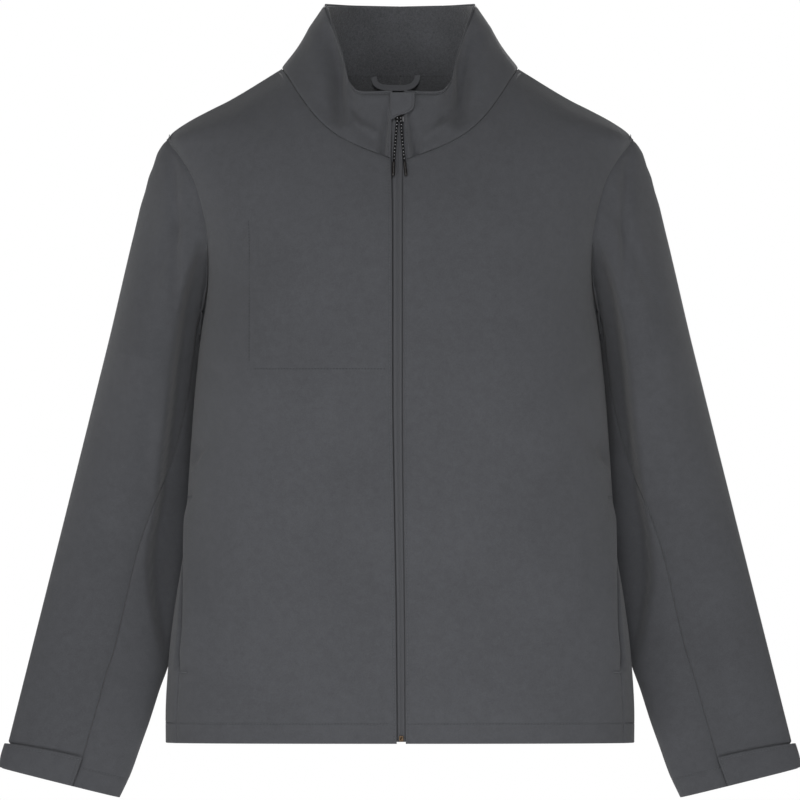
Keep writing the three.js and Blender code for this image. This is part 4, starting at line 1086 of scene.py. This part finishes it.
def collarLayer(name, slotName, material, depth, lowest, highest, grooves=(), first=0.0):
    length, height, stitch = collarLook["half"], collarLook["height"], collarLook["stitch"]
    half = places(length, collarLook["step"], rollPlaces(length) + [(stitch, 1.5, 0.4)])
    half = half[half < 0.994]
    half = first + half * (1 - first)
    up = places(height, collarLook["upStep"], rollPlaces(height) + [(height - stitch, 1.5, 0.4)])
    around, up = np.meshgrid(half, mix(lowest, highest, up))
    parts = []
    for side in (1, -1):
        p, normal = collarSurface(side, around, up)
        parts.append((mirror(p - normal * depth, side), mirror(normal, side)))
    middle = collarSurface(1, np.ones((len(up), 1)), up[:, :1])
    middle = middle[0] - middle[1] * depth, middle[1]
    p = np.concatenate([parts[0][0], middle[0], parts[1][0][:, ::-1]], axis=1)
    normal = np.concatenate([parts[0][1], middle[1], parts[1][1][:, ::-1]], axis=1)
    sewnPiece(name, slotName, material, p, normal, seams=("bottom",), grooves=grooves, lined=False)


rim = collarLook["stitch"]
collarLayer("collar_outer", "shell", shell, 0, 0, 1,
            (("top", rim, 1.6, 0.9), ("start", rim, 0.6, 0.8), ("end", rim, 0.6, 0.8)))
collarLayer("collar_inner", "lining", fleece, collarLook["lineDepth"], 0.0, collarLook["lineTop"],
            first=collarLook["lineStart"])
print("collar ready")


# Zip: tape behind the fronts' edges, a coil under it that shows as fine ribs, slider and end box

def zipTape():
    half = np.array([0.1, 0.25, 0.5, 0.9, 1.6, 2.6, 3.1, 3.6, 4.1, 4.6, 4.75, 5.3, 6, 7, 9, 12.7, 13])
    z = np.concatenate([np.linspace(hemZ + 2, neckFrontZ - 9.5, 110),
                        np.linspace(neckFrontZ - 9, collarFront[2] - 4, 36)])
    x, z = np.meshgrid(np.concatenate([-half[::-1], [0], half]), z)
    narrow = smooth(neckFrontZ - 9.5, neckFrontZ - 8.5, z)
    plain, share = zipLook["plainHalf"], mix(1, zipLook["collarShare"], narrow)
    x = np.where(np.abs(x) > plain, np.sign(x) * (plain + (np.abs(x) - plain) * share), x)
    gap = read(zipLine, "half", z)
    fall = 0.55 * (x / zipLook["tapeHalf"]) ** 2 + 0.35 * np.exp(-(x / 0.35) ** 2)
    fall += zipLook["edgeDrop"] * np.where(x > 0, 0.6, 1) * smooth(gap - 1.5, gap - 0.3, np.abs(x))
    p = stack(x + read(zipLine, "middle", z), zipFace(z) + fall, z)
    sewnPiece("zip_tape", "zip", tapeCloth, p, stack(0 * x, -1, 0), thickness=1.0, lined=False)


zipTape()
ribLook = {"pitch": 1.55, "out": 1.15, "length": 1.5, "radius": 0.42, "slope": 0.32}
ribs = []
for way in (-1, 1):
    z = np.arange(hemZ + 10, -56, ribLook["pitch"]) + (ribLook["pitch"] / 2 if way > 0 else 0)
    x = way * ribLook["out"] + read(zipLine, "middle", z)
    ahead = stack(0 * z, -1, 0)
    slope = unit(stack(0 * z + way, 0, ribLook["slope"]))
    ribs.append((stack(x, zipFace(z) + 0.12, z), slope, ahead))
stitches("zip_coil", ribs, ribLook["length"], ribLook["radius"]).data.materials[0] = tapeCloth


# A plate with rolled edges: place turns an outline point and a height into a point in space.
def plate(name, material, outline, thickness, place, node=None, rings=()):
    outline = np.array(outline, float)
    before, after = np.roll(outline, 1, axis=0), np.roll(outline, -1, axis=0)
    one, two = unit(outline - before), unit(after - outline)
    area = np.sum(outline[:, 0] * after[:, 1] - outline[:, 1] * after[:, 0])
    turned = np.sign(area)
    inward = unit(np.stack([-(one + two)[:, 1], (one + two)[:, 0]], -1)) * turned
    inward = inward / np.clip(np.einsum("ij,ij->i", inward, np.stack([-one[:, 1], one[:, 0]], -1) * turned),
                              0.5, 1)[:, None]
    r = thickness / 2
    profile = [(0.0, 0.0), (0.12, 0.5), (0.35, 0.8), (0.7, 0.95), (1.0, 1.0)]
    top = [(r * a * 0.9, r * b) for a, b in profile]
    bottom = [(r * a * 0.9, -r * b) for a, b in profile[1:]]
    steps = bottom[::-1] + top + [(back, r - drop) for back, drop in rings]
    layers = [outline + inward * back for back, height in steps]
    heights = [height for back, height in steps]
    points = np.concatenate([place(layer, height + r) for layer, height in zip(layers, heights)])
    count = len(outline)
    faces = ringFaces(len(layers), count).tolist()
    faces.append(list(range(count))[::-1])
    faces.append([(len(layers) - 1) * count + k for k in range(count)])
    if area < 0:
        faces = [face[::-1] for face in faces]
    flat = np.concatenate(layers)
    piece = newMesh(name, points, faces, material, flat)
    if node:
        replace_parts(piece, node)


def leaning(x0, z0, ahead):
    base = np.array([x0, float(zipFace(z0)) - ahead, z0])
    up = np.array([0, math.sin(collarLean), math.cos(collarLean)])
    out = np.array([0, -math.cos(collarLean), math.sin(collarLean)])
    def place(flat, height):
        height = np.broadcast_to(height, len(flat))
        return base + np.outer(flat[:, 0], [1, 0, 0]) + np.outer(flat[:, 1], up) + np.outer(height, out)
    return place


# Points along bends, each given by its start, the point that pulls it, and its end.
def curvePoints(*bends):
    found = []
    for bend in bends:
        a, b, c = (np.array(p, float) for p in bend)
        count = max(3, int((math.dist(a, b) + math.dist(b, c)) / 0.8))
        for k in range(count):
            t = k / count
            found.append(a * (1 - t) ** 2 + 2 * b * t * (1 - t) + c * t * t)
    return found


def legs(*corners):
    found = []
    for start, end in zip(corners[:-1], corners[1:]):
        found.append((start, tuple((np.array(start) + end) / 2), end))
    return found


# A closed outline with soft corners, each a bend, and straight lines between them.
def softOutline(*corners):
    found = []
    for k, corner in enumerate(corners):
        before = corners[k - 1][2]
        if before != corner[0]:
            found += legs(before, corner[0])
        found.append(corner)
    return curvePoints(*found)


sliderOutline = softOutline(((-2.2, -4.4), (-2.1, -5), (-1.5, -5)), ((1.5, -5), (2.1, -5), (2.2, -4.4)),
                            ((3.2, 4.3), (3.2, 5), (2.5, 5)), ((-2.5, 5), (-3.2, 5), (-3.2, 4.3)))
sliderX = float(read(zipLine, "middle", zipLook["sliderZ"]))
plate("zip_slider_body", zipPlastic, sliderOutline, zipLook["sliderDepth"],
      leaning(sliderX, zipLook["sliderZ"], zipLook["sliderAhead"]), "zip_slider",
      rings=((1.6, 0.0), (1.8, 0.25)))
bridgeOutline = softOutline(((-3.4, 3.2), (-3.4, 4), (-2.6, 4)), ((2.6, 4), (3.4, 4), (3.4, 3.2)),
                            ((3.0, -2.4), (2.9, -3.2), (2.1, -3.2)), ((-2.1, -3.2), (-2.9, -3.2), (-3.0, -2.4)))
plate("zip_slider_bridge", zipPlastic, bridgeOutline[::-1], 2.4, leaning(-0.9, -51.9, 3.3),
      rings=((1.2, 0.1),))
tabOutline = softOutline(((-0.9, -2.2), (-0.9, -3), (0, -3)), ((0, -3), (0.9, -3), (0.9, -2.2)),
                         ((0.8, 2), (0.7, 2.6), (0, 2.6)), ((0, 2.6), (-0.7, 2.6), (-0.8, 2)))
plate("zip_slider_tab", zipMetal, tabOutline, 1.0, leaning(3.2, -53.2, 3.2))


# Chin guard: sewn at the wearer's right edge, rounded at its other lower corner
guardLook = {"width": 24.8, "height": 27, "sewnX": -9.7, "middleX": 2.7, "tall": 1.065, "ahead": 4.4,
             "stitch": 2.3, "bow": 0.9, "bowSpread": 156, "drop": 2.0}
guardCurve = np.array([1, guardLook["tall"]]) * np.array(curvePoints(
    ((-9.7, -27.3), (-5.7, -24.7), (-2.5, -23.6)), *legs((-2.5, -23.6), (6.6, -20.1)),
    ((6.6, -20.1), (14.1, -17.4), (15.1, -10.9)), *legs((15.1, -10.9), (15.1, 0.5)),
    ((15.1, 0.5), (15.1, 1), (15.1, 2))))


def chinGuard():
    width, height = guardLook["width"], guardLook["height"]
    x = guardLook["sewnX"] + width * places(width, 0.8, rollPlaces(width))
    low = guardCurve[guardCurve[:, 1] < -10.8]
    bottom = np.interp(x, low[:, 0], low[:, 1])
    x, share = np.meshgrid(x, places(height, 0.8, rollPlaces(height)))
    z = mix(bottom[None], 0, share)
    flat = np.stack([x, z], -1)
    edge = np.linalg.norm(flat[:, :, None] - guardCurve[None, None], axis=3).min(axis=2)
    inner = np.maximum(0, edge - 0.4)
    base = leaning(0, collarFront[2] - guardLook["drop"], guardLook["ahead"] + cloth)
    bow = guardLook["bow"] * (1 - (x - guardLook["middleX"]) ** 2 / guardLook["bowSpread"])
    bow = bow * smooth(0, 8, z - bottom[None])
    grid = base(flat.reshape(-1, 2), bow.reshape(-1)).reshape(*x.shape, 3)
    normal = np.broadcast_to(unit(np.array([0, -math.cos(collarLean), math.sin(collarLean)])), grid.shape)
    grooves = (("rim", guardLook["stitch"], 0.7, 0.7), ("start", 1.8, 0.4, 0.6))
    sewnPiece("chin_flap", "shell", shell, grid, normal, node="chin_guard", grooves=grooves, lined=False,
              known={"bottom": inner, "end": inner, "rim": edge})


chinGuard()
boxZ = hemZ + 5.4
boxPlace = np.array([float(read(zipLine, "middle", boxZ)), float(zipFace(boxZ + 3)) - 0.6, boxZ])


def beforeBox(flat, height):
    return boxPlace + np.stack([flat[:, 0], np.full(len(flat), -height), flat[:, 1]], -1)


boxOutline = softOutline(((-2.3, -2.5), (-2.3, -3), (-1.8, -3)), ((1.8, -3), (2.3, -3), (2.3, -2.5)),
                         ((2.3, 2.2), (2.3, 3), (1.5, 3)), ((-1.5, 3), (-2.3, 3), (-2.3, 2.2)))
plate("zip_end", brass, boxOutline, 2.4, beforeBox, "zip_end_box", rings=((1.0, 0.05), (1.4, 0.5)))
print("zip ready")


# Hanger loop: a folded strap in a shallow bow at the back of the neck

def strap(name, line, halfWidth, thickness, y):
    line = np.array(line, float)
    way = unit(np.gradient(line, axis=0))
    aside = np.stack([-way[:, 1], way[:, 0]], -1)
    profile = [(-1, 0.5), (-0.985, 0.2), (-0.93, 0.05), (-0.8, 0), (-0.4, 0), (-0.08, 0.02), (0, 0.08),
               (0.08, 0.02), (0.4, 0), (0.8, 0), (0.93, 0.05), (0.985, 0.2), (1, 0.5), (0.985, 0.8),
               (0.93, 0.95), (0.8, 1), (0, 1), (-0.8, 1), (-0.93, 0.95), (-0.985, 0.8)]
    points = []
    for across, deep in profile:
        flat = line + aside * (across * halfWidth)
        points.append(np.stack([flat[:, 0], np.full(len(flat), y + deep * thickness), flat[:, 1]], -1))
    points = np.stack(points, 1)
    rings, count = points.shape[:2]
    faces = ringFaces(rings, count)
    if signedVolume(points.reshape(-1, 3), faces) < 0:
        faces = faces[:, ::-1]
    faces = faces.tolist()
    faces += [list(range(count)), list(range((rings - 1) * count, rings * count))[::-1]]
    along = np.arange(rings)[:, None] + np.zeros(count)[None]
    uv = np.stack([along, np.array([p[0] for p in profile])[None] * halfWidth + 0 * along], -1)
    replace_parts(newMesh(name, points.reshape(-1, 3), faces, loopCloth, uv.reshape(-1, 2)), name)


loopLine = curvePoints(*legs((-27, -5.6), (-26.6, -10)), ((-26.6, -10), (-25.6, -17.4), (-17, -18.8)),
                       ((-17, -18.8), (-6, -20.2), (5, -19.4)), ((5, -19.4), (15.5, -17.8), (17.6, -10)),
                       *legs((17.6, -10), (17.8, -5.6)))
loopLook = {"halfWidth": 3.0, "thickness": 1.4, "y": 58.0}
strap("hanger_loop", loopLine, loopLook["halfWidth"], loopLook["thickness"], loopLook["y"])
print("loop ready")


# Seam allowances: strips inside the walls that close the armhole and neck seams

def across(line, normal, inward):
    side = unit(np.cross(np.gradient(line, axis=0), normal))
    turned = np.sign(np.einsum("ij,ij->i", side, inward))[:, None]
    return side * np.where(turned == 0, 1, turned)


# The neck's facing goes down by the first value of a row and inwards by the second.
facingRows = ((26, 1.3), (20, 2.0), (12, 2.9), (5, 3.3), (1, 3.2))
seamThickness = 0.5


def allowance(name, rows, flip=1, slotName="shell", material=shell):
    grid = np.array(rows)
    a, b = np.gradient(grid, axis=1), np.gradient(grid, axis=0)
    normal = unit(np.cross(a, b)) * flip
    clothPiece(name, slotName, material, grid, normal, thickness=seamThickness, lined=False)


for word, side in sides:
    turn = np.linspace(0, 360, 181)
    line = armholePoint(turn % 360)
    normal = bodyNormal(line)
    inward = across(line, normal, np.tile([-1.0, 0, 0], (len(line), 1)))
    sleeveSide = [sleeveSurface(turn % 360, np.full_like(turn, t)) for t in (0.012, 0.03)]
    rows = [line + inward * 5 - normal * 1.1, line + inward * 2 - normal * 1.1, line - normal * 1.0]
    rows += [p - n * 1.1 for p, n in sleeveSide]
    allowance("armhole_seam_" + word, mirror(np.array(rows), side), side)
    around = np.linspace(0.004, 1, 120)
    line = collarEdge(side, around, False)
    normal = bodyNormal(line)
    downward = across(line, normal, np.where((around < 0.5)[:, None], [0.3, 0, -1.0], [0.3, 0.2, -1.0]))
    above = [collarSurface(side, around, np.full_like(around, up)) for up in (0.03, 0.1)]
    reach = mix(0.2, 1, smooth(0.6, 0.76, around))[:, None]      # short in front, full at the back
    rows = [line + downward * down * reach - normal * (deep + 1.0 - reach) for down, deep in facingRows]
    rows += [p - n * 3.0 for p, n in above]
    allowance("neck_seam_" + word, mirror(np.array(rows), side), side, "lining", fleece)
print("seams closed")


# Stitching

for word, side in sides:
    surface = surfaces["front_" + word]
    runs = [stitchSpots(inset(surface, "bottom", panelLook["hemStitch"]), 8, 3),
            stitchSpots(inset(surface, "start", panelLook["zipStitch"]), 3, 3)]
    stitches("front_stitches_" + word, runs)
    surface = surfaces["sleeve_under_" + word]
    runs = [stitchSpots(inset(surface, "top", sleeveLook["hemStitch"]))]
    surface = surfaces["cuff_tab_" + word]
    runs += [stitchSpots(inset(surface, edge, tabLook["stitch"])) for edge in ("bottom", "end")]
    stitches("cuff_stitches_" + word, runs)
stitches("back_stitches", [stitchSpots(inset(surfaces["back"], "bottom", panelLook["hemStitch"]))])
surface = surfaces["collar_outer"]
stitches("collar_stitches", [stitchSpots(inset(surface, edge, collarLook["stitch"]))
                                      for edge in ("top", "start", "end")])
chestLook = {"outer": ((154.5, -155), (153, -303)), "bottom": ((149, -307), (13, -307)), "pitch": 3.2,
             "lift": 0.36, "length": 1.5, "radius": 0.26}
chest = [stitchSpots(lineOn(-1, -1, straight(*chestLook[line])), pitch=chestLook["pitch"],
                     lift=chestLook["lift"]) for line in ("outer", "bottom")]
stitches("chest_pocket_stitches", chest, chestLook["length"], chestLook["radius"], darkThread)
tackLook = {"margin": 0.2, "pitch": 0.62, "lift": 0.9, "slant": 0.35, "length": 1.7, "radius": 0.3}
for word, side in sides:
    for height, near, far in ((-437.6, 211.5, 215.5), (-615.6, 216.5, 224.4)):
        line = lineOn(-1, side, straight((near, height), (far, height), 0.8))
        middle, way, normal = stitchSpots(line, tackLook["margin"], tackLook["margin"], tackLook["pitch"],
                                          tackLook["lift"])
        crosswise = unit(np.cross(way, normal) + way * tackLook["slant"])
        stitches(f"bar_tack_{word}_{abs(round(height))}", [(middle, crosswise, normal)],
                 tackLook["length"], tackLook["radius"])
print("stitching ready")
